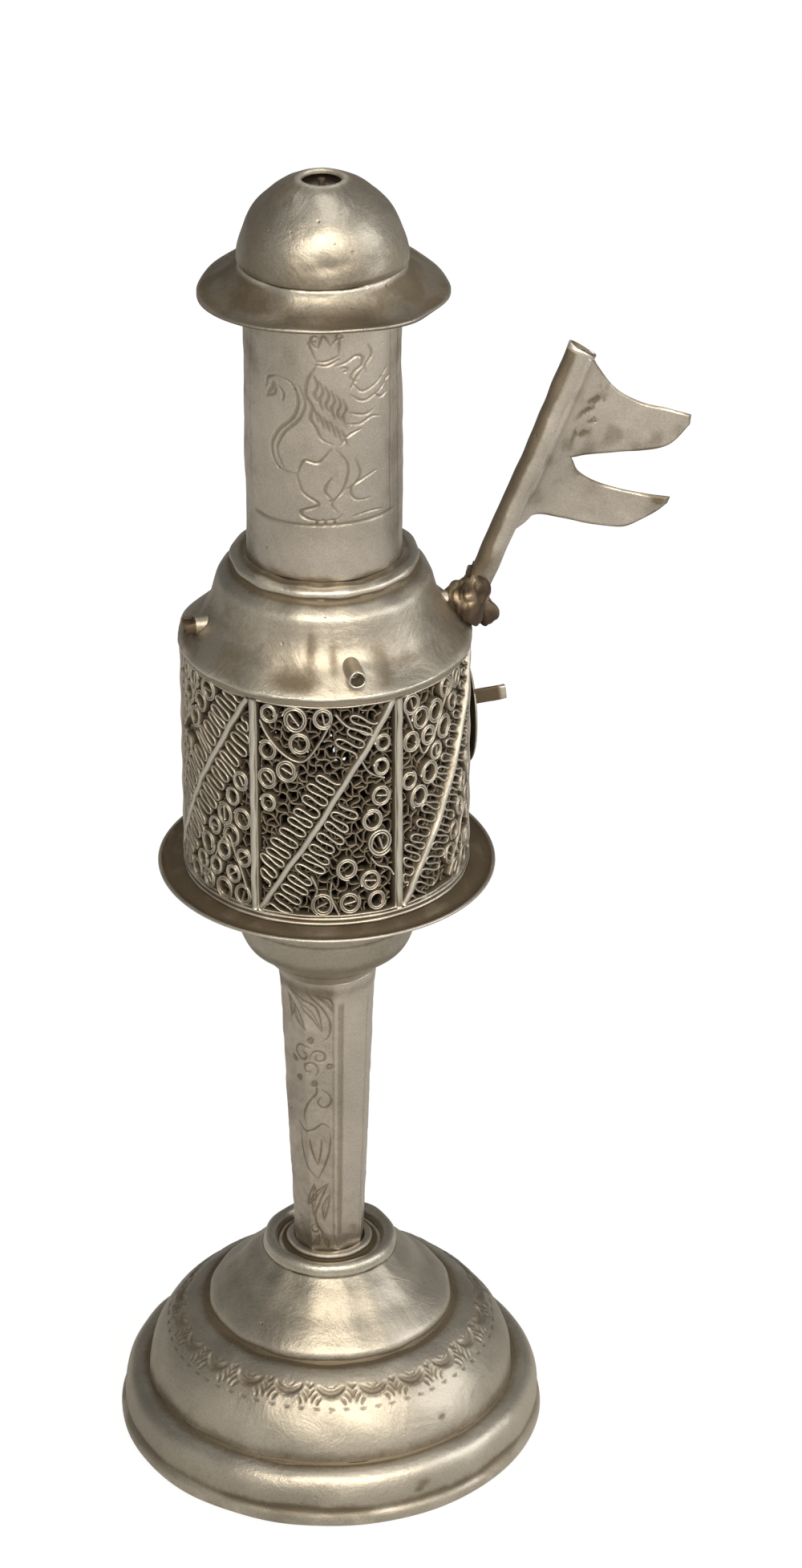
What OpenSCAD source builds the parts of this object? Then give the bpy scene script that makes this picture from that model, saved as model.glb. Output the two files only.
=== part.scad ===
// Silver filigree spice tower: a stepped round foot, a tapered stem, a round openwork
// chamber with a hinged door, a bell roof, a plain tower with a hat, and a pennant.
// The tower stands on z = 0 with its axis on Z. Azimuth 0 is the front (-Y), 90 is +X.

/* [Sheet and fits] */
// Thickness of the spun and rolled sheet
sheet = 0.5; // [0.4:0.05:0.7]
// Gap left between soldered or clamped pieces
seam = 0.05; // [0.02:0.01:0.08]

/* [Foot] */
// Diameter over the rolled edge
foot_d = 72.8; // [66:0.2:90]
// Thickness of the rolled edge
edge_d = 3.9; // [3.2:0.1:4.6]
// Diameter of the middle dome at its base
dome_d = 62.4; // [58:0.2:64]
// Height of the lowest step
step_h = 10.2; // [8:0.1:13]
// Height of the groove above the middle dome
dome_h = 23.2; // [20:0.1:28]
// Diameter of the upper bell at its base
bell_d = 41.2; // [36:0.2:45]
// Height of the foot's neck
neck_h = 34.2; // [31:0.1:42]
// Diameter of the foot's neck
neck_d = 22.8; // [20:0.1:26]

/* [Stem] */
// Length of the tapered stem tube
stem_l = 56.8; // [44:0.2:72]
// Diameter of the stem at its lower end
stem_low_d = 11.8; // [10.4:0.1:12.6]
// Diameter of the stem at its upper end
stem_top_d = 16.5; // [14:0.1:20]
// Height of the calyx cup above the stem
calyx_h = 19.4; // [15:0.1:24]
// Diameter of the calyx at its top
calyx_d = 31.8; // [28:0.2:38]
// Diameter of the rod that clamps foot, stem and tray together
rod_d = 2.8; // [2:0.1:3.4]

/* [Chamber] */
// Diameter of the tray's rim
tray_d = 55.2; // [52:0.2:62]
// Outer diameter of the filigree wall
chamber_d = 46.2; // [44:0.2:48]
// Height of the filigree panels
panel_h = 38.1; // [34:0.1:46]
// Radial depth of the filigree ribbons
ribbon_depth = 0.8; // [0.6:0.05:1]
// Edge thickness of the filigree ribbons
ribbon_w = 0.35; // [0.25:0.05:0.45]
// Width of the straps between the panels
post_w = 1.0; // [0.8:0.1:1.2]
// How far the straps stand proud of the ribbons
post_proud = 0.25; // [0.1:0.05:0.4]
// Outer diameter of the small scroll coils
coil_d = 3.9; // [3.2:0.1:4.2]

/* [Door] */
// Diameter of the door plate
door_d = 22; // [18:0.2:22.4]
// How far the plate bulges at mid height
door_crown = 0.8; // [0.3:0.1:1.2]
// Height of the door's centre above the tray
door_z = 22.6; // [18:0.1:26]
// Diameter of the hinge pin
pin_d = 0.9; // [0.7:0.05:1]
// Running clearance around the pin, on the radius
pin_gap = 0.05; // [0.02:0.01:0.08]
// Wall of the hinge knuckles
knuckle_wall = 0.4; // [0.3:0.05:0.5]
// Length of each knuckle
knuckle_l = 2.8; // [2:0.1:3.4]

/* [Roof and tower] */
// Diameter of the roof's rim
roof_d = 47.2; // [46.6:0.2:50]
// Height of the roof from its rim to the tower's seat
roof_h = 15.4; // [14:0.1:20]
// Outer diameter of the tower tube
tower_d = 24.8; // [22:0.1:25.4]
// Length of the tower tube
tower_l = 49.3; // [40:0.1:62]
// Diameter of the hat's brim
brim_d = 39.8; // [34:0.2:46]
// Drop of the brim below the hat's seam
brim_drop = 4.6; // [3:0.1:6]
// Height of the hat's dome
hat_h = 13.8; // [12:0.1:17]
// Diameter of the hole in the hat
hat_hole_d = 7.2; // [5:0.1:8]
// Outer diameter of the four small flag sockets
socket_d = 2.9; // [2.6:0.1:3.4]
// Bore of the flag sockets
socket_bore = 1.9; // [1.4:0.1:2.1]
// Depth of the flag sockets' bores
socket_bore_l = 3.2; // [2:0.1:3.2]

/* [Pennant] */
// Length of the rolled mast
mast_l = 44.8; // [36:0.1:56]
// Outer diameter of the rolled mast
mast_d = 4.2; // [3.6:0.1:4.6]
// Lean of the mast away from the tower, in degrees
mast_lean = 22.8; // [15:0.2:30]
// Reach of the longer tail from the mast's axis
flag_reach = 24.2; // [18:0.1:30]
// Thickness of the flag's sheet
flag_t = 0.6; // [0.4:0.05:0.8]

/* [Hidden] */
SIDES = 6;                        // panels and posts round the chamber
DOOR_SIDE = 3;                    // the panel that holds the door
SOCKETS = ["front", "right", "back", "left"];

SILVER = [0.68, 0.65, 0.59];
DARK_SILVER = [0.42, 0.38, 0.32];
BRIGHT = [0.80, 0.77, 0.71];
SOLDER = [0.52, 0.40, 0.26];
$fn = 96;

// Levels, from the table up
z_socket = neck_h - 1;
z_stem = z_socket + 0.05;
z_calyx = z_stem + stem_l;
z_tray = z_calyx + seam + calyx_h + seam;      // underside of the tray's floor
z_floor = z_tray + sheet;
base_ring_h = 1.35;
top_ring_h = 1.0;
z_panel = z_floor + seam + base_ring_h + seam;
z_top_ring = z_panel + panel_h + seam;
z_roof = z_top_ring + top_ring_h + seam;
z_seat = z_roof + roof_h;
z_brim = z_seat + seam + tower_l + seam;       // underside of the brim's lip
z_dome = z_brim + sheet + seam;
z_door = z_floor + door_z;

// Radii
edge_r = edge_d / 2;
edge_c = foot_d / 2 - edge_r;                  // centre of the rolled edge
edge_z = edge_r - 0.05;                        // the roll stands on a narrow flat
wall_r = chamber_d / 2;
wall_in = wall_r - ribbon_depth;
post_r = wall_r + post_proud;
post_in = wall_in - 0.1;
step_angle = 360 / SIDES;
rod_r = rod_d / 2;
knuckle_bore = pin_d / 2 + pin_gap;
knuckle_r = knuckle_bore + knuckle_wall;
plate_t = 0.45;
plate_in = post_r + 0.1;                       // inside of the door plate at its edge
door_r = door_d / 2;
frame_hole = door_r - 1.7;
frame_w = 0.8;
door_az = step_angle * (DOOR_SIDE - 1);
hinge_az = door_az + step_angle / 2;
hinge_r = post_r + 0.35 + knuckle_r;
socket_az = 12;
socket_r = chamber_d / 2 + 1.3;                // outer end of the flag sockets
socket_z = z_roof + 3.95;
flag_az = socket_az + 90;
mast_r = mast_d / 2;
mast_wall = 0.4;
mast_foot = [socket_r + 0.05, z_roof + 4.35];  // radius and height of the mast's lower end

// ---- outlines -----------------------------------------------------------------------

// Superellipse quarter from (r0, z0), where it is upright, to (r1, z1), where it is level
function quarter(r0, z0, r1, z1, power, last = 90, n = 14) =
    [for (i = [0:n]) let (t = last * i / n)
        [r1 + (r0 - r1) * pow(cos(t), 2 / power), z0 + (z1 - z0) * pow(sin(t), 2 / power)]];

// Arc of a circle
function arc(c, r, a0, a1, n = 10) =
    [for (i = [0:n]) let (a = a0 + (a1 - a0) * i / n) [c[0] + r * cos(a), c[1] + r * sin(a)]];

// Smooth curve through the points (Catmull-Rom), n pieces to a span
function blend(p0, p1, p2, p3, t) =
    0.5 * (2 * p1 + (p2 - p0) * t + (2 * p0 - 5 * p1 + 4 * p2 - p3) * t * t
           + (3 * p1 - p0 - 3 * p2 + p3) * t * t * t);
function smooth(p, n = 4) = let (m = len(p) - 1) concat(
    [for (i = [0:m - 1]) for (k = [0:n - 1])
        blend(p[max(i - 1, 0)], p[i], p[i + 1], p[min(i + 2, m)], k / n)], [p[m]]);

// The outline moved sideways by w: to its left where w is positive
function moved(p, w) = [for (i = [0:len(p) - 1])
    let (d = p[min(i + 1, len(p) - 1)] - p[max(i - 1, 0)]) p[i] + w * [-d[1], d[0]] / norm(d)];
function reversed(p) = [for (i = [len(p) - 1:-1:0]) p[i]];

// Sheet of thickness t, spun to the outline p of its outer side, drawn from the bottom up
module spun(p, t = sheet) rotate_extrude() polygon(concat(p, reversed(moved(p, t))));
// Round tube section between two radii
module ring(r_in, r_out, z, h) translate([0, 0, z]) difference() {
    cylinder(r = r_out, h = h);
    translate([0, 0, -1]) cylinder(r = r_in, h = h + 2);
}
// Turns a piece that is drawn at the front to an azimuth
module at(az) rotate([0, 0, az]) children();
// A flat drawing (x along the wall, y up) carried out from the axis through the wall
module through_wall() translate([0, 2 - wall_in * cos(step_angle / 2), 0]) rotate([90, 0, 0])
    linear_extrude(wall_r) children();
// Straight ribbon from p to q, w wide
module ribbon(p, q, w = ribbon_w) {
    d = (q - p) / norm(q - p);
    s = [-d[1], d[0]] * w / 2;
    polygon([p + s, p - s, q - s, q + s]);
}

// ---- foot and stem ------------------------------------------------------------------

crease = [edge_c + edge_r * cos(48), edge_z + edge_r * sin(48)];
// Radius of the upper bell, from the neck (0) to its base (1)
function bell(s) = neck_d / 2 + (bell_d - neck_d) / 2 * s;
foot_line = concat(
    quarter(crease[0], crease[1] - 0.2, dome_d / 2 + 0.3, step_h, 2.4),
    quarter(dome_d / 2, step_h + 0.9, bell_d / 2 + 0.9, dome_h, 1.6),
    smooth([[bell_d / 2, dome_h + 0.15], [bell_d / 2, dome_h + 1.1], [bell_d / 2 - 0.5, dome_h + 2.1],
            [bell(0.74), dome_h + 4], [bell(0.5), dome_h + 6.0], [bell(0.27), neck_h - 2.6],
            [neck_d / 2 + 0.7, neck_h - 0.8], [neck_d / 2 - 0.1, neck_h]], 3),
    [[neck_d / 2 - 2.6, neck_h]]);

module foot_shell() color(SILVER) rotate_extrude() difference() {
    union() {
        polygon(concat(foot_line, reversed(moved(foot_line, sheet))));
        polygon(concat(arc([edge_c, edge_z], edge_r, -215, 50, 30),
                       reversed(arc([edge_c, edge_z], edge_r - sheet, -215, 50, 30))));
    }
    translate([0, -5]) square([foot_d, 5]);
}
module foot_edge_wire() color(DARK_SILVER) rotate_extrude()
    translate([edge_c, edge_z]) circle(r = edge_r - sheet - seam, $fn = 32);
// Radius of the hole that the stem stands in: the stem's own, and a seam
function stem_hole(z) = stem_low_d / 2 + seam + (stem_top_d - stem_low_d) / 2 * max(z - z_stem, 0) / stem_l;
cup_r = neck_d / 2 - 1.4;                      // the cup inside the neck
lip_r = neck_d / 2 - 2.6;                      // the neck's hole
bead_z = neck_h + 1.9;
module stem_socket() color(DARK_SILVER) rotate_extrude() polygon([
    [stem_hole(0), z_socket - 0.6], [cup_r, z_socket - 0.6], [cup_r, neck_h - sheet - seam],
    [lip_r - seam, neck_h - sheet - seam], [lip_r - seam, neck_h], [lip_r - 0.2, neck_h + 0.5],
    [stem_hole(bead_z) + 1.3, neck_h + 0.8], [stem_hole(bead_z) + 0.9, neck_h + 1.6],
    [stem_hole(bead_z) + 0.4, bead_z], [stem_hole(bead_z), bead_z], [stem_hole(0), z_stem]]);
module stem_collar() color(SILVER) rotate_extrude() polygon(concat(
    [for (t = [0:12:180]) [neck_d / 2 - 1.5 + 1.2 * cos(t), neck_h + seam + 2.05 * sin(t)]]));
module stem() color(SILVER) rotate_extrude() polygon([
    [stem_low_d / 2, z_stem], [stem_top_d / 2, z_calyx],
    [stem_top_d / 2 - sheet, z_calyx], [stem_low_d / 2 - sheet, z_stem]]);

calyx_low = stem_top_d / 2 + 0.1;
calyx_line = concat(
    smooth([[calyx_low, z_calyx + seam], [calyx_low + 0.75, z_calyx + 0.9], [calyx_low + 2.1, z_calyx + 2.4]], 3),
    reversed(quarter(calyx_d / 2, z_tray - seam, calyx_low + 3.4, z_calyx + 3.8, 2.1, 84, 12)));
module calyx() color(SILVER) spun(calyx_line);

rod_low = z_socket - 6.4;
module tie_rod() color(DARK_SILVER) translate([0, 0, rod_low])
    cylinder(r = rod_r, h = z_floor + 4.2 - rod_low);
module foot_washer() color(DARK_SILVER)
    ring(rod_r + seam, neck_d / 2 - 3, z_socket - 0.6 - seam - 0.8, 0.8);
module nut(z) translate([0, 0, z]) difference() {
    cylinder(r = 2 * rod_d * 0.55, h = 2.2, $fn = 6);
    translate([0, 0, -1]) cylinder(r = rod_r + seam, h = 5);
}
module foot_nut() color(DARK_SILVER) nut(z_socket - 0.6 - 2 * seam - 0.8 - 2.2);
module chamber_washer() color(DARK_SILVER) ring(rod_r + seam, 4.5, z_floor + seam, 0.6);
module chamber_nut() color(DARK_SILVER) nut(z_floor + 2 * seam + 0.6);

// ---- chamber ------------------------------------------------------------------------

tray_line = concat([[wall_r + 0.9, z_tray]],
    smooth([[wall_r + 1.7, z_tray - 0.15], [wall_r + 2.6, z_tray - 0.55], [wall_r + 3.6, z_tray - 0.45],
            [tray_d / 2, z_tray + 0.1]], 3));
module tray() color(DARK_SILVER) rotate_extrude()
    polygon(concat([[rod_r + seam, z_tray]], tray_line, reversed(moved(tray_line, sheet)),
                   [[rod_r + seam, z_floor]]));
module chamber_base_ring() color(SILVER)
    ring(post_in - 0.2, post_r, z_floor + seam, base_ring_h);
module chamber_top_ring() color(SILVER)
    ring(post_in - 0.2, wall_r, z_top_ring, top_ring_h);

module post(k) color(BRIGHT) at(step_angle * (k - 0.5)) intersection() {
    ring(post_in, post_r, z_panel, panel_h);
    translate([-post_w / 2, -wall_r - 3, z_panel]) cube([post_w, 6, panel_h]);
}

// Half width and half height of a panel's flat drawing
half_w = post_in * sin(step_angle / 2) - post_w / 2 * cos(step_angle / 2) - 0.1;
half_h = panel_h / 2;
lean = atan2(half_w, half_h);
along = [sin(lean), cos(lean)];                // up the diagonal
out = [-cos(lean), sin(lean)];                 // square to it, up and to the left
strap_w = 0.9;                                 // the diagonal strap
rail_in = strap_w / 2 + 0.1;
rail_at = rail_in + ribbon_w / 2;
band_w = 4.5;
loop_step = 1.6;
coil_r = coil_d / 2;
coil_pitch = coil_d - 0.1;
coil_margin = 0.16;                            // from the panel's edge to the outer coils
past = 0.4;                                    // how far a ribbon runs on before it is trimmed

// Zigzag ribbon beside the diagonal, with a rail along the strap
module serpentine() {
    reach = norm([half_w, half_h]);
    low = rail_at / tan(lean) + 0.2;
    for (s = [low - reach:loop_step:reach - low - loop_step]) {
        ribbon(s * along + rail_at * out, (s + loop_step / 2) * along + (rail_at + band_w) * out);
        ribbon((s + loop_step / 2) * along + (rail_at + band_w) * out,
               (s + loop_step) * along + rail_at * out);
    }
    ribbon(-reach * along + rail_at * out, reach * along + rail_at * out);
}
// Coils in the triangle between the serpentine and the panel's corner
module coils() {
    columns = floor(2 * half_w / coil_pitch);
    rows = floor(2 * half_h / coil_pitch);
    first = [coil_margin + coil_r - half_w, half_h - coil_r - coil_margin];
    for (i = [0:columns], j = [0:rows - 1]) {
        c = first + coil_pitch * [i, -j];
        if (c * out > rail_at + band_w + coil_r - 0.6) translate(c) difference() {
            circle(r = coil_r, $fn = 24);
            circle(r = coil_r - ribbon_w, $fn = 24);
        }
    }
}
// One triangle of a panel: its border, serpentine and coils
module half_panel() {
    edge = past / 2 - ribbon_w / 2;
    intersection() {
        union() {
            serpentine();
            coils();
            ribbon([-half_w - edge, -half_h - past], [-half_w - edge, half_h + past], ribbon_w + past);
            ribbon([-half_w - past, half_h + edge], [half_w + past, half_h + edge], ribbon_w + past);
        }
        polygon([[-half_w, half_h], [-half_w, (rail_in - 0.03 - cos(lean) * half_w) / sin(lean)],
                 [(sin(lean) * half_h - rail_in + 0.03) / cos(lean), half_h]]);
    }
}
module wall_opening(r) translate([0, 0, z_door]) rotate([90, 0, 0]) cylinder(r = r, h = wall_r + 9);
door_trim = 0.3;                               // from the door frame to the ribbons cut for it

module filigree_panel(k) color(SILVER) at(step_angle * (k - 1)) difference() {
    intersection() {
        ring(wall_in, wall_r, z_panel - 1, panel_h + 2);
        translate([0, 0, z_panel + half_h]) through_wall() {
            half_panel();
            rotate(180) half_panel();
        }
    }
    if (k == DOOR_SIDE) wall_opening(frame_hole + frame_w + door_trim);
}
module diagonal_strap(k) color(BRIGHT) at(step_angle * (k - 1)) difference() {
    intersection() {
        ring(post_in, post_r, z_panel - 1, panel_h + 2);
        translate([0, 0, z_panel + half_h]) through_wall() intersection() {
            ribbon([-half_w, -half_h] * 1.1, [half_w, half_h] * 1.1, strap_w);
            square([2 * half_w, 2 * half_h], center = true);
        }
    }
    if (k == DOOR_SIDE) wall_opening(frame_hole + frame_w + seam);
}

// ---- door ---------------------------------------------------------------------------

module door_frame() color(SILVER) at(door_az) difference() {
    intersection() {
        ring(post_in, wall_r + 0.1, z_panel, panel_h);
        wall_opening(frame_hole + frame_w);
    }
    wall_opening(frame_hole);
}
function plate_line(grow) = [for (i = [-8:8]) let (s = i / 8)
    [plate_in + grow + door_crown * (1 - s * s), z_door + s * door_r]];
module door_plate() color(SILVER) at(door_az) intersection() {
    rotate_extrude() polygon(concat(plate_line(plate_t), reversed(plate_line(0))));
    wall_opening(door_r);
}
module knuckle(z) translate([0, -hinge_r, z - knuckle_l / 2]) difference() {
    cylinder(r = knuckle_r, h = knuckle_l, $fn = 32);
    translate([0, 0, -1]) cylinder(r = knuckle_bore, h = knuckle_l + 2, $fn = 32);
}
knuckle_pitch = knuckle_l + 0.15;
module post_knuckles() color(SILVER) at(hinge_az) for (s = [-1, 1]) {
    knuckle(z_door + s * knuckle_pitch);
    translate([-0.4, -hinge_r + knuckle_bore + 0.05, z_door + s * knuckle_pitch - knuckle_l / 2])
        cube([0.8, hinge_r - knuckle_bore - 0.05 - post_r - seam, knuckle_l]);
}
module hinge_pin() color(BRIGHT) at(hinge_az)
    translate([0, -hinge_r, z_door - 1.5 * knuckle_pitch - 0.4])
        cylinder(r = pin_d / 2, h = 3 * knuckle_pitch + 0.8, $fn = 32);
leaf_in = plate_in + plate_t + door_crown + seam;
leaf_t = 0.4;
module door_knuckle() color(SILVER) at(hinge_az) {
    knuckle(z_door);
    intersection() {
        ring(leaf_in, leaf_in + leaf_t, z_door - knuckle_l / 2, knuckle_l);
        translate([-4.4, -leaf_in - 2, z_door - knuckle_l / 2])
            cube([4.4 - knuckle_bore - 0.08, 4, knuckle_l]);
    }
}
pull_az = -22.5;                               // from the door's centre line
pull_z = 4.9;
pull_h = 2.7;
pull_l = 5.2;
pull_t = 0.8;
module door_pull() color(SILVER) at(door_az + pull_az) {
    pull_in = plate_in + plate_t + door_crown * (1 - pow((pull_z - pull_h / 2) / door_r, 2)) + seam;
    translate([-pull_t / 2, -pull_in - pull_l, z_door + pull_z - pull_h / 2]) cube([pull_t, pull_l, pull_h]);
    translate([0, -pull_in - pull_l, z_door + pull_z - pull_h / 2]) cylinder(r = 0.6, h = pull_h, $fn = 24);
}

// ---- roof ---------------------------------------------------------------------------

ledge_r = tower_d / 2 - 1.2;
roof_line = concat(
    smooth([[roof_d / 2, z_roof + sheet], [roof_d / 2 - 1, z_roof + 1.4], [roof_d / 2 - 2.4, z_roof + 2.7],
            [roof_d / 2 - 3.8, z_roof + 4.1], [tower_d / 2 + 6.2, z_roof + 5.9], [tower_d / 2 + 5.5, z_roof + 7.7],
            [tower_d / 2 + 5.1, z_seat - 6.1], [tower_d / 2 + 4.6, z_seat - 4.4],
            [tower_d / 2 + 3.6, z_seat - 3.3], [tower_d / 2 + 2.6, z_seat - 2.6],
            [tower_d / 2 + 2.35, z_seat - 1.9], [tower_d / 2 + 2.6, z_seat - 1.2],
            [tower_d / 2 + 2.4, z_seat - 0.4], [tower_d / 2 + 1.7, z_seat + 0.3],
            [tower_d / 2 + 0.9, z_seat + 0.35], [tower_d / 2 + 0.4, z_seat]], 3),
    [[ledge_r, z_seat]]);
module roof() color(SILVER) rotate_extrude()
    polygon(concat([[roof_d / 2, z_roof]], roof_line, reversed(moved(roof_line, sheet))));
// The space that the roof takes up, with the soldering gap
module roof_space() rotate_extrude() polygon(concat([[0, z_roof - 1], [roof_d / 2 + seam, z_roof - 1]],
    moved(roof_line, -seam), [[0, z_seat + seam]]));

module socket(az, broken = false) color(DARK_SILVER) at(az) difference() {
    translate([0, 0, socket_z]) rotate([90, 0, 0]) translate([0, 0, socket_r - socket_bore_l]) difference() {
        cylinder(r = socket_d / 2, h = socket_bore_l, $fn = 48);
        translate([0, 0, -1]) cylinder(r = socket_bore / 2, h = socket_bore_l + 2, $fn = 48);
    }
    roof_space();
    if (broken) translate([0, -socket_r - 1, socket_z - 0.5]) cube([4, 8, 4]);
}
// The solder that fills each socket's inner end and holds it on the roof's slope
module socket_solder() color(SOLDER) difference() {
    for (i = [0:3]) at(socket_az + 90 * i) translate([0, 0, socket_z]) rotate([90, 0, 0])
        cylinder(r = socket_d / 2, h = socket_r - socket_bore_l - seam, $fn = 48);
    roof_space();
}

// ---- pennant ------------------------------------------------------------------------

// Carries a piece drawn along +Z at the origin to the mast's foot and leans it outwards
module on_mast() at(flag_az) translate([0, -mast_foot[0], mast_foot[1]])
    rotate([mast_lean, 0, 0]) children();

// Outline of the sheet: x outwards from the mast's axis, y up the mast
upper_tail = smooth([[mast_r, mast_l - 0.6], [mast_r + 1.9, mast_l - 1.9], [flag_reach * 0.34, mast_l - 4.8],
    [flag_reach * 0.53, mast_l - 5.8], [flag_reach * 0.72, mast_l - 5.4], [flag_reach * 0.9, mast_l - 5.0],
    [flag_reach * 0.91, mast_l - 7.0], [flag_reach * 0.83, mast_l - 11.2], [flag_reach * 0.68, mast_l - 13.4],
    [flag_reach * 0.5, mast_l - 15.3], [flag_reach * 0.29, mast_l - 17.4]], 4);
lower_tail = smooth([[flag_reach * 0.28, mast_l - 18.4], [flag_reach * 0.35, mast_l - 20.0],
    [flag_reach * 0.49, mast_l - 20.8], [flag_reach * 0.64, mast_l - 20.7], [flag_reach * 0.81, mast_l - 20.1],
    [flag_reach, mast_l - 19.1], [flag_reach * 0.99, mast_l - 20.2], [flag_reach * 0.93, mast_l - 22.5],
    [flag_reach * 0.81, mast_l - 25.9], [flag_reach * 0.7, mast_l - 27.2], [flag_reach * 0.53, mast_l - 28.0],
    [flag_reach * 0.34, mast_l - 28.4], [mast_r + 2.0, mast_l - 29.0], [mast_r + 0.7, mast_l - 31.5],
    [mast_r - 0.2, mast_l - 36]], 4);
module flag() color(SILVER) difference() {
    on_mast() difference() {
        union() {
            cylinder(r = mast_r, h = mast_l, $fn = 48);
            rotate([0, 0, -90]) translate([0, flag_t / 2, 0]) rotate([90, 0, 0]) linear_extrude(flag_t)
                polygon(concat([[0, mast_l - 36], [0, mast_l - 0.6]], upper_tail, lower_tail));
        }
        translate([0, 0, -1]) cylinder(r = mast_r - mast_wall, h = mast_l + 2, $fn = 48);
    }
    socket_space();
}
// The space that the right-hand socket takes up, with the soldering gap
module socket_space() at(flag_az) translate([0, 0, socket_z]) rotate([90, 0, 0])
    cylinder(r = socket_d / 2 + seam, h = socket_r + seam, $fn = 48);
module flag_solder() color(SOLDER) difference() {
    union() {
        at(flag_az) translate([0, -socket_r + 2.4, z_roof + 3.6]) sphere(r = 3.1, $fn = 48);
        at(flag_az) translate([0, -socket_r + 0.4, z_roof + 2.8]) sphere(r = 2.7, $fn = 48);
        on_mast() translate([0, 0, 1.2]) sphere(r = mast_r + 0.7, $fn = 48);
    }
    roof_space();
    on_mast() cylinder(r = mast_r + seam, h = 9, $fn = 48);
    socket_space();
}

// ---- tower and hat ------------------------------------------------------------------

module tower() color(SILVER) ring(tower_d / 2 - sheet, tower_d / 2, z_seat + seam, tower_l);
throat = tower_d / 2 + 0.25 + sheet;
brim_line = concat(
    smooth([[brim_d / 2, z_dome - brim_drop], [brim_d / 2 - 1.3, z_dome - brim_drop + 0.05],
            [brim_d / 2 - 2.9, z_dome - brim_drop + 0.45], [throat + 2.3, z_dome - 3.5],
            [throat + 1.1, z_dome - 2.5], [throat + 0.3, z_dome - 1.4], [throat, z_dome - seam - 0.3]], 4),
    [[throat - 0.3, z_dome - seam], [tower_d / 2 - 0.9, z_dome - seam]]);
module cap_brim() color(SILVER) rotate_extrude()
    polygon(concat(brim_line, reversed(moved(brim_line, sheet))));
hat_r = throat + 0.15;
hole_turn = acos(pow(hat_hole_d / 2 / hat_r, 1.9 / 2));
hat_line = concat([[hat_r, z_dome]], quarter(hat_r, z_dome + 0.5, 0, z_dome + hat_h, 1.9, hole_turn, 20));
module cap_dome() color(SILVER) spun(hat_line);
z_finial = z_dome + hat_h - 2.9;
module finial_seat() color(DARK_SILVER)
    ring(0.6, hat_r * 0.48, z_finial, 0.4);
module finial_stub() color(SOLDER) translate([0, 0, z_finial - 0.6])
    cylinder(r = 0.6 - seam, h = 2.6, $fn = 24);

// ---- assembly -----------------------------------------------------------------------

foot_shell();
foot_edge_wire();
stem_socket();
stem_collar();
stem();
calyx();
tie_rod();
foot_washer();
foot_nut();
chamber_washer();
chamber_nut();
tray();
chamber_base_ring();
chamber_top_ring();
for (k = [1:SIDES]) {
    post(k);
    filigree_panel(k);
    diagonal_strap(k);
}
door_frame();
post_knuckles();
hinge_pin();
door_plate();
door_knuckle();
door_pull();
roof();
for (i = [0:3])
    socket(socket_az + 90 * i, broken = i == 3);
socket_solder();
flag_solder();
flag();
tower();
cap_brim();
cap_dome();
finial_seat();
finial_stub();
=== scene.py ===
"""A silver filigree spice tower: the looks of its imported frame.

Every piece is a closed surface worked out with numpy in millimetres and placed in the frame of the
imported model: the tower stands on z = 0, its axis is Z, azimuth 0 is the front (-Y) and 90 is +X.
"""

import logging
import math
from dataclasses import dataclass, field
from enum import Enum
from typing import Callable, Optional, Sequence, Union

import bpy
import numpy as np
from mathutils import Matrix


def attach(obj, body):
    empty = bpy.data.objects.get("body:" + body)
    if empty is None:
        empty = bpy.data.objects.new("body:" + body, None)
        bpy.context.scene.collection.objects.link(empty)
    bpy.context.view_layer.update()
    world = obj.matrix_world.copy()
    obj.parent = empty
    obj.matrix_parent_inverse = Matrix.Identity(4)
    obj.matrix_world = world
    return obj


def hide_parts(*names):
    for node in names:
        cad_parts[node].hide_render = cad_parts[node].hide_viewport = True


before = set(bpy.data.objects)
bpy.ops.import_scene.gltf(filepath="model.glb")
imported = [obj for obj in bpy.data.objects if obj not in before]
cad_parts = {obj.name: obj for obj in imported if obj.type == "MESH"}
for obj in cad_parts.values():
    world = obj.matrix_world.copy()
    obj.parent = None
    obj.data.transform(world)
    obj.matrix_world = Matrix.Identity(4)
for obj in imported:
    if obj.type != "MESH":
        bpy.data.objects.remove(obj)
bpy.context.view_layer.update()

MM = 0.001
TOWER_BODY = "spice_tower"
DOOR_BODY = "door"
LOG = logging.getLogger("spice_tower")

Array = np.ndarray
Points = Array
Masks = dict[str, Array]
Shaped = tuple[Array, Masks]
Relief = Callable[[Array, Array, Points], Shaped]
Warp = Callable[[Points], Points]


# ---- outlines ----


def smooth(points: Sequence, pieces: int = 10) -> Points:
    """Catmull-Rom curve through the points: each span is a cubic whose end slopes are half the step
    between the neighbours of its ends.

    Args:
        points: The points to pass through, any number of columns.
        pieces: How many steps each span gets.

    Returns:
        The points of the curve.
    """
    p = np.asarray(points, float)
    ends = np.vstack([p[:1], p, p[-1:]])
    t = (np.arange((len(p) - 1) * pieces + 1) / pieces)[:, None]
    i = np.minimum(t[:, 0].astype(int), len(p) - 2)
    t = t - i[:, None]
    a, b, c, d = (ends[i + k] for k in range(4))
    return 0.5 * (2 * b + (c - a) * t + (2 * a - 5 * b + 4 * c - d) * t**2
                  + (3 * b - a - 3 * c + d) * t**3)


def resample(points: Points, step: float) -> Points:
    """The same line with its points an even distance apart.

    Args:
        points: The line.
        step: Distance between neighbours, rounded so that both ends stay.

    Returns:
        Points read off the line at equal lengths along it.
    """
    length = arc_length(points)
    n = max(int(math.ceil(length[-1] / step)), 2)
    at = np.linspace(0, length[-1], n + 1)
    return np.stack([np.interp(at, length, points[:, k]) for k in range(points.shape[1])], 1)


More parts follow.
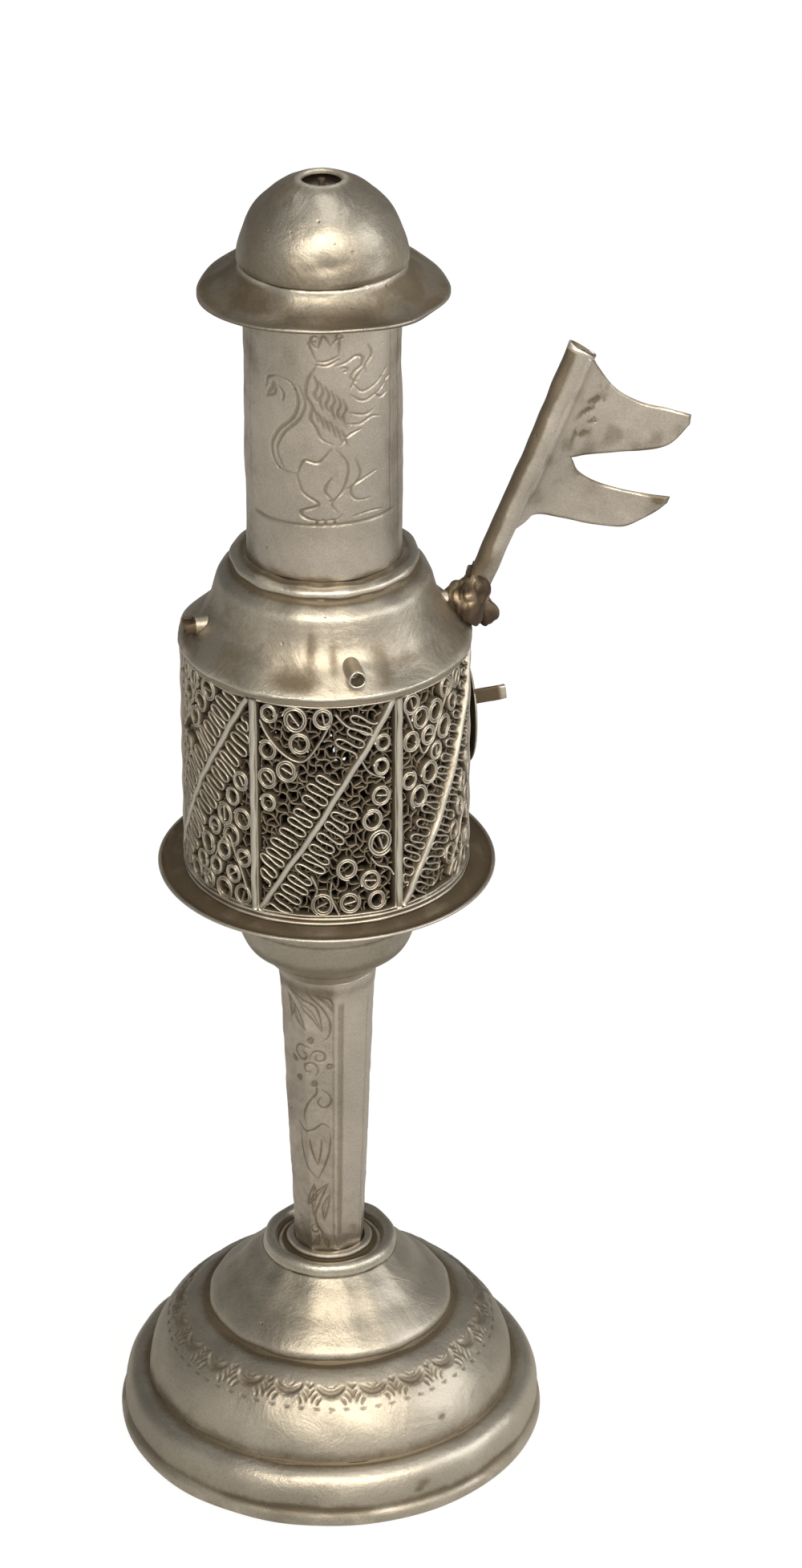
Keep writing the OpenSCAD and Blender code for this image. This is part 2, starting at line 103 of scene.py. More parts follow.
def arc_length(points: Points) -> Array:
    """Length along a line from its first point to each of its points."""
    return np.concatenate([[0], np.cumsum(np.linalg.norm(np.diff(points, axis=0), axis=1))])


def quarter(low: tuple, high: tuple, power: float, last: float = 90, n: int = 60) -> Points:
    """Superellipse quarter, upright at its low end and level at its high end: the share of the
    radius is cos(t) to the 2/power and the share of the height is sin(t) to the 2/power.

    Args:
        low: Radius and height where it is upright.
        high: Radius and height where it would be level.
        power: 2 for an ellipse, more for a squarer shoulder.
        last: Where t ends, in degrees.
        n: Number of steps.

    Returns:
        Radius and height of each point.
    """
    t = np.radians(np.linspace(0, last, n + 1))
    share = np.stack([np.cos(t) ** (2 / power), np.sin(t) ** (2 / power)], 1)
    return np.array([high[0], low[1]]) + share * np.array([low[0] - high[0], high[1] - low[1]])


def arc(centre: tuple, radius: float, start: float, end: float, n: int = 24) -> Points:
    """Arc of a circle between two angles in degrees, as n + 1 points."""
    a = np.radians(np.linspace(start, end, n + 1))
    return np.array(centre) + radius * np.stack([np.cos(a), np.sin(a)], 1)


def left_of(points: Points, distance: float) -> Points:
    """The line moved square to itself, to its left, by a distance."""
    return points + distance * across(points)


def across(points: Points) -> Points:
    """Unit vectors square to a flat line at each point, to its left: the central difference of
    the points turned by a quarter turn."""
    d = np.gradient(points, axis=0)
    n = np.stack([-d[:, 1], d[:, 0]], 1)
    return n / np.maximum(np.linalg.norm(n, axis=1, keepdims=True), 1e-9)


def blurred(values: Array, width: float, step: float) -> Array:
    """Values along a line, averaged with a bell curve of that width, with its ends held."""
    reach = max(int(3 * width / step), 1)
    kernel = np.exp(-0.5 * (np.arange(-reach, reach + 1) * step / width) ** 2)
    return np.convolve(np.pad(values, reach, mode="edge"), kernel / kernel.sum(), mode="valid")


def ramp(values: Array, low: float, high: float) -> Array:
    """0 at low and 1 at high, with a smooth S between: 3t squared less 2t cubed."""
    t = np.clip((values - low) / (high - low), 0, 1)
    return t * t * (3 - 2 * t)


def hump(values: Array, centre: float, width: float) -> Array:
    """Bell curve: e to minus the square of the distance from the centre over the width."""
    return np.exp(-((values - centre) / width) ** 2)


def around(azimuth: Array, centre: float, width: float) -> Array:
    """Bell of that width round a centre, all in degrees, for azimuths in radians."""
    gap = (np.degrees(azimuth) - centre + 180) % 360 - 180
    return np.exp(-0.5 * (gap / width) ** 2)


@dataclass(frozen=True)
class Ripple:
    """Unevenness that hammering and handling leave: cosines that run round and along a piece.

    Each wave has a whole number of turns round the piece, so that it closes on itself. Its
    length is drawn between two thirds and twice the stated one, in any direction.
    """

    amount: float
    length: float
    radius: float
    seed: int
    waves: int = 16

    def __call__(self, azimuth: Array, height: Array) -> Array:
        """Height of the ripple in mm, for azimuth in radians and height in mm."""
        rng = np.random.default_rng(self.seed)
        total = np.zeros(np.broadcast(azimuth, height).shape)
        for _ in range(self.waves):
            number = 2 * math.pi / (self.length * rng.uniform(0.65, 2))
            turn, phase = rng.uniform(0, 2 * math.pi, 2)
            turns = round(number * self.radius * math.cos(turn))
            total += np.cos(turns * azimuth + number * math.sin(turn) * height + phase)
        return self.amount * total / math.sqrt(self.waves / 2)


# ---- surfaces ----


@dataclass
class Surface:
    """Points in millimetres, faces as arrays of point numbers, and a mask value at each point."""

    points: Points
    faces: list[Array]
    masks: Masks = field(default_factory=dict)

    @staticmethod
    def joined(parts: Sequence["Surface"]) -> "Surface":
        """Several surfaces as one."""
        start = np.cumsum([0] + [len(p.points) for p in parts])
        names = sorted({name for p in parts for name in p.masks})
        masks = {name: np.concatenate([p.masks.get(name, np.zeros(len(p.points))) for p in parts])
                 for name in names}
        faces = [f + s for p, s in zip(parts, start) for f in p.faces]
        return Surface(np.vstack([p.points for p in parts]), faces, masks)

    def outwards(self) -> "Surface":
        """The same surface with every face pointing out: faces are turned where the volume that
        they enclose, a sum of wedges to the origin, comes out negative."""
        volume = 0.0
        for f in self.faces:
            a = self.points[f[:, 0]]
            for k in range(1, f.shape[1] - 1):
                volume += np.einsum("ij,ij->", a, np.cross(self.points[f[:, k]], self.points[f[:, k + 1]]))
        return Surface(self.points, [f[:, ::-1] if volume < 0 else f for f in self.faces], self.masks)


def grid_faces(rows: int, columns: int, wrap_rows: bool, wrap_columns: bool) -> Array:
    """Four-sided faces of a grid of points numbered row by row.

    Args:
        rows: Number of rows.
        columns: Number of columns.
        wrap_rows: Whether the last row joins the first.
        wrap_columns: Whether the last column joins the first.

    Returns:
        One row of four point numbers for each face.
    """
    r = np.arange(rows if wrap_rows else rows - 1)[:, None]
    c = np.arange(columns if wrap_columns else columns - 1)[None, :]
    r2, c2 = (r + 1) % rows, (c + 1) % columns
    corners = [r * columns + c, r * columns + c2, r2 * columns + c2, r2 * columns + c]
    return np.stack(corners, -1).reshape(-1, 4)


def two_sides(rows: int, columns: int) -> list[Array]:
    """Faces of a front grid, of a back grid numbered after it, and of the wall round their rims."""
    front = grid_faces(rows, columns, False, False)
    number = np.arange(rows * columns).reshape(rows, columns)
    rim = np.concatenate([number[0, :-1], number[:-1, -1], number[-1, :0:-1], number[:0:-1, 0]])
    following = np.roll(rim, -1)
    behind = rows * columns
    wall = np.stack([rim, rim + behind, following + behind, following], 1)
    return [front, front[:, ::-1] + behind, wall]


def on_axis(radius: Array, azimuth: Array, height: Array) -> Points:
    """Points from radius, azimuth and height: x is r sin a and y is minus r cos a."""
    r, a, z = np.broadcast_arrays(radius, azimuth, height)
    return np.stack([r * np.sin(a), -r * np.cos(a), z], -1)


def about_axis(points: Points) -> tuple[Array, Array]:
    """Radius and azimuth of each point, the reverse of on_axis."""
    return np.hypot(points[:, 0], points[:, 1]), np.arctan2(points[:, 0], -points[:, 1])


def compass(azimuth: float) -> tuple[Array, Array]:
    """Unit vectors straight out from the axis and square to that, at an azimuth in degrees."""
    turn = math.radians(azimuth)
    return np.array([math.sin(turn), -math.cos(turn), 0.0]), np.array([math.cos(turn), math.sin(turn), 0.0])


def azimuths(front: float, back: float, reach: float = 100) -> Array:
    """Columns of a turned grid, closer together at the front than at the back.

    Args:
        front: Degrees between columns at the front.
        back: Degrees between columns at the back.
        reach: How far the front goes to either side, in degrees.

    Returns:
        Azimuths round the whole turn, in radians.
    """
    near = np.arange(-reach, reach, front)
    far = np.linspace(reach, 360 - reach, max(int((360 - 2 * reach) / back), 3), endpoint=False)
    return np.radians(np.concatenate([near, far]))


def edge_masks(profile: Points, step: float, reach: float = 0.5) -> tuple[Array, Array]:
    """Where a turned outline is hollow, and so holds tarnish, and where it stands out and is worn.

    The turn of the outline per mm, averaged over the reach, is the measure: negative where it
    is hollow and positive where it stands out.

    Args:
        profile: Radius and height of the outline's points, evenly apart.
        step: Distance between the points, in mm.
        reach: Spread of the average, in mm.

    Returns:
        The tarnish mask and the wear mask, one value for each point.
    """
    d = np.gradient(profile, axis=0)
    turn = np.gradient(np.unwrap(np.arctan2(d[:, 1], d[:, 0]))) / step
    turn = blurred(turn, reach, step)
    return np.clip(-turn * 1.6, 0, 1), np.clip(turn * 1.3, 0, 1)


@dataclass
class Lathe:
    """Closed shell of sheet turned about the axis.

    The outline is a loop of radius and height: the outer side from the bottom up and the inner
    side back down. Each point of the outer side goes out along the outline's normal by the
    relief at its azimuth. A warp then moves both sides together.
    """

    outer: Points
    inner: Points
    azimuths: Array
    relief: Optional[Relief] = None
    warp: Optional[Warp] = None
    inner_tarnish: float = 0.9
    edge_reach: float = 0.5

    def surface(self) -> Surface:
        """The shell's points, faces and masks."""
        along = arc_length(self.outer)[:, None]
        normal = -across(self.outer)
        azimuth = self.azimuths[None, :]
        shape = (len(self.outer), len(self.azimuths))
        tarnish, wear = edge_masks(self.outer, float(np.diff(along[:, 0]).mean()), self.edge_reach)
        masks = {"tarnish": np.repeat(tarnish[:, None], shape[1], 1),
                 "wear": np.repeat(wear[:, None], shape[1], 1), "groove": np.zeros(shape)}
        height = np.zeros(shape)
        if self.relief:
            height, extra = self.relief(azimuth, along, self.outer)
            for name, value in extra.items():
                masks[name] = np.clip(masks.get(name, 0) + value, 0, 1)
        out = on_axis(self.outer[:, :1] + normal[:, :1] * height, azimuth,
                      self.outer[:, 1:] + normal[:, 1:] * height)
        back = on_axis(self.inner[:, :1], azimuth, self.inner[:, 1:])
        points = np.concatenate([out, back]).reshape(-1, 3)
        behind = {"tarnish": self.inner_tarnish, "wear": 0.0, "groove": 0.0}
        inner_shape = (len(self.inner), shape[1])
        flat = {name: np.concatenate([value, np.full(inner_shape, behind.get(name, 0.0))]).ravel()
                for name, value in masks.items()}
        faces = grid_faces(len(self.outer) + len(self.inner), shape[1], True, True)
        return Surface(self.warp(points) if self.warp else points, [faces], flat).outwards()


def sheet_shell(outer: Points, thickness: float, turns: Array, coarse: int = 5, **more) -> Surface:
    """Spun sheet: an outline with a second one a thickness inside it, turned about the axis.

    Args:
        outer: Outline of the outer side from the bottom up.
        thickness: Of the sheet.
        turns: Azimuths of the grid's columns.
        coarse: Every how many outer points the inner side has one.
        **more: What else the lathe takes, such as its relief.

    Returns:
        The closed shell.
    """
    inside = left_of(outer, thickness)[::-1]
    keep = np.unique(np.concatenate([np.arange(0, len(inside), coarse), [len(inside) - 1]]))
    return Lathe(outer, inside[keep], turns, **more).surface()


def tube(path: Points, side: Points, width: Array, depth: Array, section: Points,
         closed: bool = False, masks: Optional[Masks] = None) -> Surface:
    """A section carried along a path: each section point stands width times its first number to
    the side and depth times its second number along the third direction.

    Args:
        path: Centre points in space.
        side: Direction of the section's first number at each path point.
        width: Scale of the first number, one or one for each path point.
        depth: Scale of the second number, likewise.
        section: Closed outline of the section.
        closed: Whether the path's end joins its start.
        masks: Mask values at each section point.

    Returns:
        A closed surface with flat ends.
    """
    along = np.gradient(path, axis=0)
    side = side - along * (np.sum(side * along, 1) / np.sum(along * along, 1))[:, None]
    side = side / np.linalg.norm(side, axis=1, keepdims=True)
    third = np.cross(side, along)
    third /= np.linalg.norm(third, axis=1, keepdims=True)
    w, d = (np.broadcast_to(np.asarray(x, float), len(path))[:, None, None] for x in (width, depth))
    points = (path[:, None] + side[:, None] * w * section[None, :, :1]
              + third[:, None] * d * section[None, :, 1:])
    n, m = len(path), len(section)
    faces = [grid_faces(n, m, closed, True)]
    flat = {k: np.broadcast_to(v, (n, m)).ravel() for k, v in (masks or {}).items()}
    points = points.reshape(-1, 3)
    if not closed:
        points = np.vstack([points, path[[0, -1]]])
        flat = {k: np.concatenate([v, v[[0, -1]]]) for k, v in flat.items()}
        ring = np.arange(m)
        following = (ring + 1) % m
        first = np.stack([following, ring, np.full(m, n * m)], 1)
        last = (n - 1) * m + np.stack([ring, following, np.full(m, m + 1)], 1)
        faces += [first, last]
    return Surface(points, faces, flat).outwards()


def rounded(n: int = 24, squareness: float = 2.0) -> Points:
    """Round section of unit half width: a superellipse of n points."""
    t = np.arange(n) * 2 * math.pi / n
    unit = np.stack([np.cos(t), np.sin(t)], 1)
    return np.sign(unit) * np.abs(unit) ** (2 / squareness)


# ---- engraving ----


@dataclass(frozen=True)
class Stroke:
    """A cut of the graver: a line with the half width and depth of its middle, in mm."""

    line: Points
    half_width: float = 0.16
    depth: float = 0.09
    taper: float = 0.35


@dataclass
class Engraving:
    """Strokes on a flat sheet, which a piece lays round itself."""

    strokes: list[Stroke] = field(default_factory=list)

    def line(self, *points: tuple, half_width: float = 0.16, depth: float = 0.09) -> "Engraving":
        """Adds one curved stroke through the points."""
        self.strokes.append(Stroke(resample(smooth(points, 8), 0.35), half_width, depth))
        return self

    def leaf(self, base: tuple, tip: tuple, bend: float, breadth: float) -> "Engraving":
        """Adds a leaf: two edges that bow to either side of a bent midrib, and the midrib.

        Args:
            base: Where the leaf starts.
            tip: Where it ends.
            bend: How far its middle stands to the left of a straight line.
            breadth: From the midrib to the further edge.

        Returns:
            The engraving itself.
        """
        b, t = np.array(base, float), np.array(tip, float)
        side = np.array([-(t - b)[1], (t - b)[0]]) / np.linalg.norm(t - b)
        middle = (b + t) / 2 + bend * side
        for share, weight in ((1, 1.0), (-0.55, 0.8), (0.1, 0.55)):
            self.line(base, tuple(middle + share * breadth * side), tip,
                      half_width=0.17 * weight, depth=0.10 * weight)
        return self

    def scroll(self, centre: tuple, radius: float, start: float, turns: float) -> "Engraving":
        """Adds a spiral that shrinks to a third of its radius over its turns.

        Args:
            centre: The spiral's eye.
            radius: Where it starts.
            start: The angle where it starts, in degrees.
            turns: How many times it goes round, negative for clockwise.

        Returns:
            The engraving itself.
        """
        t = np.linspace(0, 1, max(int(abs(turns) * 20), 6))
        a = np.radians(start) + 2 * math.pi * turns * t
        r = radius * (1 - 0.68 * t)
        self.strokes.append(Stroke(np.array(centre) + r[:, None] * np.stack([np.cos(a), np.sin(a)], 1)))
        return self

    def bolder(self, width: float, depth: float) -> "Engraving":
        """The same strokes, wider and deeper by these factors."""
        return Engraving([Stroke(s.line, s.half_width * width, s.depth * depth, s.taper)
                          for s in self.strokes])

    def depth_at(self, across_mm: Array, up_mm: Array) -> tuple[Array, Array]:
        """How deep and how dark the cuts are at points of the sheet.

        A point's depth is the deepest of the strokes there. A stroke's depth falls from its line
        to nothing at its half width, as one less the square of the share of that width, and both
        shrink towards its ends. A low burr stands just outside each cut.

        Args:
            across_mm: Distance of each point across the sheet.
            up_mm: Its height on the sheet.

        Returns:
            The depth in mm and the darkness from 0 to 1, one of each for a point.
        """
        depth, dark = np.zeros(across_mm.shape), np.zeros(across_mm.shape)
        for s in self.strokes:
            low, high = s.line.min(0) - 3 * s.half_width, s.line.max(0) + 3 * s.half_width
            near = ((across_mm > low[0]) & (across_mm < high[0]) & (up_mm > low[1]) & (up_mm < high[1]))
            if not near.any():
                continue
            p = np.stack([across_mm[near], up_mm[near]], 1)
            a, d = s.line[:-1], np.diff(s.line, axis=0)
            squared = np.maximum((d * d).sum(1), 1e-9)
            t = np.clip(np.einsum("psk,sk->ps", p[:, None] - a[None], d) / squared, 0, 1)
            gap = np.linalg.norm(p[:, None] - a[None] - t[..., None] * d[None], axis=2)
            nearest = gap.argmin(1)
            rows = np.arange(len(p))
            where = (nearest + t[rows, nearest]) / len(d)
            ends = np.clip(np.minimum(where, 1 - where) / s.taper, 0, 1) ** 0.5
            width = s.half_width * (0.45 + 0.55 * ends)
            share = gap[rows, nearest] / width
            cut = np.clip(1 - share**2, 0, 1) * (0.4 + 0.6 * ends)
            burr = 0.22 * hump(share, 1.45, 0.35) * ends
            depth[near] = np.where(cut > 0, np.maximum(depth[near], s.depth * cut),
                                   np.where(depth[near] > 0, depth[near], -s.depth * burr))
            dark[near] = np.maximum(dark[near], np.clip(1.15 - share**2, 0, 1) * (0.5 + 0.5 * ends))
        return depth, dark


# ---- finishes ----


Wired = Union[float, tuple, bpy.types.NodeSocket]


class Sketch:
    """Short hand for wiring a node tree."""

    def __init__(self, tree: bpy.types.NodeTree) -> None:
        """Starts on an emptied tree."""
        self.tree = tree
        tree.nodes.clear()

    def node(self, kind: str, settings: Optional[dict] = None, **inputs) -> bpy.types.Node:
        """Adds a node.

        Args:
            kind: Blender's name of the node, without ShaderNode.
            settings: Properties of the node itself.
            **inputs: Values or sockets for its inputs: by name with _ for a space, or i0, i1 by place.

        Returns:
            The new node.
        """
        made = self.tree.nodes.new("ShaderNode" + kind if not kind.startswith("Node") else kind)
        for name, value in (settings or {}).items():
            setattr(made, name, value)
        for name, value in inputs.items():
            place = int(name[1:]) if name[0] == "i" and name[1:].isdigit() else name.replace("_", " ")
            if isinstance(value, bpy.types.NodeSocket):
                self.tree.links.new(value, made.inputs[place])
            else:
                made.inputs[place].default_value = value
        return made

    def math(self, operation: str, a: Wired, b: Wired = 0.0, clamp: bool = False) -> bpy.types.NodeSocket:
        """One step of arithmetic on two values or sockets."""
        return self.node("Math", {"operation": operation, "use_clamp": clamp}, i0=a, i1=b).outputs[0]

    def mix(self, share: Wired, a: Wired, b: Wired) -> bpy.types.NodeSocket:
        """A colour between a and b."""
        made = self.node("Mix", {"data_type": "RGBA"}, Factor=share)
        for place, value in ((6, a), (7, b)):
            if isinstance(value, bpy.types.NodeSocket):
                self.tree.links.new(value, made.inputs[place])
            else:
                made.inputs[place].default_value = (*value, 1)
        return made.outputs[2]

    def spread(self, value: Wired, low: float, high: float, to_low: float = 0.0,
               to_high: float = 1.0) -> bpy.types.NodeSocket:
        """A value mapped from one range to another with a smooth step."""
        return self.node("MapRange", {"interpolation_type": "SMOOTHSTEP"}, Value=value, From_Min=low,
                         From_Max=high, To_Min=to_low, To_Max=to_high).outputs["Result"]

    def noise(self, coordinate: bpy.types.NodeSocket, scale: float, detail: float = 4,
              roughness: float = 0.55, distortion: float = 0.0) -> bpy.types.NodeSocket:
        """Fractal noise from 0 to 1 at a place."""
        return self.node("TexNoise", None, Vector=coordinate, Scale=scale, Detail=detail,
                         Roughness=roughness, Distortion=distortion).outputs["Fac"]


class Patina:
    """The node group that every silver finish shares: where the metal is dark, bright or rough."""

    NAME = "silver_patina"
    IN = {"Tarnish": 0.0, "Wear": 0.0, "Groove": 0.0, "Mottle": 0.5}
    OUT = ("Dark", "Bright", "Blotch", "Height")

    def group(self) -> bpy.types.NodeTree:
        """Builds the group once, and returns it after that.

        Dark is the mask of tarnish and painted shade, broken up by cloudy noise, plus the grooves.
        Bright is the mask of wear and painted highlights, with fine breaks. Blotch is a slow change
        of tone. Height holds the planishing marks, the fine grain and sparse pits.
        """
        if self.NAME in bpy.data.node_groups:
            return bpy.data.node_groups[self.NAME]
        tree = bpy.data.node_groups.new(self.NAME, "ShaderNodeTree")
        for name, value in self.IN.items():
            socket = tree.interface.new_socket(name, in_out="INPUT", socket_type="NodeSocketFloat")
            socket.default_value = value
        for name in self.OUT:
            tree.interface.new_socket(name, in_out="OUTPUT", socket_type="NodeSocketFloat")
        s = Sketch(tree)
        given = s.node("NodeGroupInput").outputs
        place = s.node("TexCoord").outputs["Object"]
        cloud = s.noise(place, 120, 6, 0.68, 0.6)
        fine = s.noise(place, 900, 4, 0.62)
        grain = s.noise(place, 3400, 3, 0.6)
        slow = s.noise(place, 42, 3, 0.5)
        pits = s.node("TexVoronoi", {"feature": "F1"}, Vector=place, Scale=420).outputs["Distance"]
        pit = s.math("MULTIPLY", s.spread(pits, 0.16, 0.05), s.spread(cloud, 0.52, 0.62))
        broken = s.math("ADD", s.math("MULTIPLY", cloud, 0.9), s.math("MULTIPLY", fine, 0.35))
        mottle = s.math("MULTIPLY", given["Mottle"], s.math("SUBTRACT", broken, 0.62))
        spread = s.math("ADD", given["Tarnish"], mottle)
        dark = s.math("ADD", s.spread(spread, 0.05, 0.95), s.math("MULTIPLY", given["Groove"], 0.75))
        dark = s.math("ADD", dark, s.math("MULTIPLY", pit, 0.5), clamp=True)
        bright = s.math("MULTIPLY", given["Wear"], s.spread(cloud, 0.3, 0.7, 0.45, 1.0), clamp=True)
        height = s.math("ADD", cloud, s.math("MULTIPLY", fine, 0.16))
        height = s.math("ADD", height, s.math("MULTIPLY", grain, 0.05))
        height = s.math("SUBTRACT", height, s.math("MULTIPLY", pit, 0.4))
        s.node("NodeGroupOutput", None, i0=dark, i1=bright,
               i2=s.math("ADD", s.math("MULTIPLY", slow, 0.6), s.math("MULTIPLY", grain, 0.4)), i3=height)
        return tree


@dataclass(frozen=True)
class Silver:
    """One finish of old silver."""

    name: str
    slot: str
    plain: tuple[float, float, float]
    dark: tuple[float, float, float]
    bright: tuple[float, float, float]
    roughness: float = 0.36
    dark_roughness: float = 0.55
    mottle: float = 0.5
    tone: float = 0.10
    dents: float = 0.35
    base_tarnish: float = 0.0

    def material(self) -> bpy.types.Material:
        """The finish as a material, built once.

        The colour goes from plain to dark by the patina's dark mask, which holds tarnish and painted
        shade, and to bright by its wear mask, which also holds painted highlights. A slow blotch then
        lifts or lowers it. Roughness follows the same masks, and the patina's height is the bump.
        """
        if self.name in bpy.data.materials:
            return bpy.data.materials[self.name]
        made = bpy.data.materials.new(self.name)
        made.use_nodes = True
        s = Sketch(made.node_tree)
        # these masks hold real tarnish and wear, and on several pieces painted shade and painted highlights
        # too
        masks = {name: s.node("Attribute", {"attribute_name": name}).outputs["Fac"]
                 for name in ("tarnish", "wear", "groove")}
        group = s.node("Group", {"node_tree": Patina().group()}, Mottle=self.mottle,
                       Tarnish=s.math("ADD", masks["tarnish"], self.base_tarnish),
                       Wear=masks["wear"], Groove=masks["groove"]).outputs
        colour = s.mix(group["Dark"], self.plain, self.dark)
        colour = s.mix(group["Bright"], colour, self.bright)
        tone = s.spread(group["Blotch"], 0.3, 0.7, 1 - self.tone, 1 + self.tone)
        colour = s.node("VectorMath", {"operation": "SCALE"}, i0=colour, Scale=tone).outputs[0]
        rough = s.spread(group["Dark"], 0, 1, self.roughness, self.dark_roughness)
        rough = s.math("SUBTRACT", rough, s.math("MULTIPLY", group["Bright"], 0.08))
        rough = s.math("ADD", rough, s.math("MULTIPLY", s.math("SUBTRACT", group["Blotch"], 0.5), 0.15))
        bump = s.node("Bump", None, Height=group["Height"], Strength=self.dents, Distance=0.0005)
        metal = s.spread(group["Dark"], 0.3, 1.0, 1.0, 0.72)
        shader = s.node("BsdfPrincipled", None, Base_Color=colour, Roughness=rough, Metallic=metal,
                        Normal=bump.outputs[0])
        s.node("OutputMaterial", None, Surface=shader.outputs[0])
        return made


class Finish(Enum):
    """The finishes on this tower."""

    SHEET = Silver("aged_silver", "silver", (0.50, 0.45, 0.37), (0.19, 0.15, 0.10), (0.73, 0.68, 0.58),
                   roughness=0.46, mottle=1.3, tone=0.24, dents=0.5, base_tarnish=0.12)
    TUBE = Silver("drawn_silver", "silver", (0.64, 0.575, 0.50), (0.22, 0.18, 0.13), (0.82, 0.77, 0.69),
                  roughness=0.38, dents=0.4, mottle=1.05, tone=0.22)
    WORN = Silver("worn_silver_strap", "worn_silver", (0.66, 0.61, 0.53), (0.34, 0.275, 0.20),
                  (0.82, 0.78, 0.70), roughness=0.40, mottle=0.7)
    FILIGREE = Silver("filigree_ribbon", "filigree_silver", (0.42, 0.36, 0.28), (0.20, 0.158, 0.11),
                      (0.76, 0.71, 0.62), roughness=0.45, mottle=0.8, base_tarnish=0.2)
    DARK = Silver("brown_silver", "dark_silver", (0.44, 0.37, 0.28), (0.14, 0.105, 0.065), (0.76, 0.71, 0.62),
                  roughness=0.46, dark_roughness=0.62, mottle=0.9, base_tarnish=0.15)
    SOLDER = Silver("old_solder", "solder", (0.30, 0.235, 0.165), (0.085, 0.06, 0.04), (0.60, 0.50, 0.35),
                    roughness=0.48, dark_roughness=0.7, mottle=1.4, dents=0.9, base_tarnish=0.2)


def add_piece(name: str, surface: Surface, finish: Finish, *nodes: str,
              body: str = TOWER_BODY) -> bpy.types.Object:
    """Makes a piece from a surface, with its masks as attributes, and puts it in place of nodes.

    Args:
        name: The piece's name.
        surface: Its points, faces and masks.
        finish: Its finish.
        *nodes: The frame's nodes that it stands for.
        body: The body that it rides on.

    Returns:
        The new object.
    """
    mesh = bpy.data.meshes.new(name)
    mesh.vertices.add(len(surface.points))
    mesh.vertices.foreach_set("co", (surface.points * MM).astype(np.float32).ravel())
    corners = np.concatenate([f.ravel() for f in surface.faces]).astype(np.int32)
    sizes = np.concatenate([np.full(len(f), f.shape[1]) for f in surface.faces])
    mesh.loops.add(len(corners))
    mesh.loops.foreach_set("vertex_index", corners)
    mesh.polygons.add(len(sizes))
    mesh.polygons.foreach_set("loop_start", np.concatenate([[0], np.cumsum(sizes)[:-1]]).astype(np.int32))
    mesh.polygons.foreach_set("use_smooth", np.ones(len(sizes), bool))
    mesh.update(calc_edges=True)
    mesh.validate()
    for mask, value in surface.masks.items():
        mesh.attributes.new(mask, "FLOAT", "POINT").data.foreach_set("value", value.astype(np.float32))
    mesh.materials.append(finish.value.material())
    piece = bpy.data.objects.new(name, mesh)
    bpy.context.scene.collection.objects.link(piece)
    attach(piece, body)
    if nodes:
        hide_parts(*nodes)
    LOG.info("%s: %d points, %d faces, for %s", name, len(surface.points), len(sizes),
             ", ".join(nodes) or "-")
    return piece


def dress(finish: Finish, *nodes: str) -> None:
    """Gives frame nodes that keep their own shape a finish."""
    for name in nodes:
        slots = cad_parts[name].data.materials
        slots.clear()
        slots.append(finish.value.material())
        LOG.info("%s keeps its shape, finish %s", name, finish.value.name)


# ---- foot ----


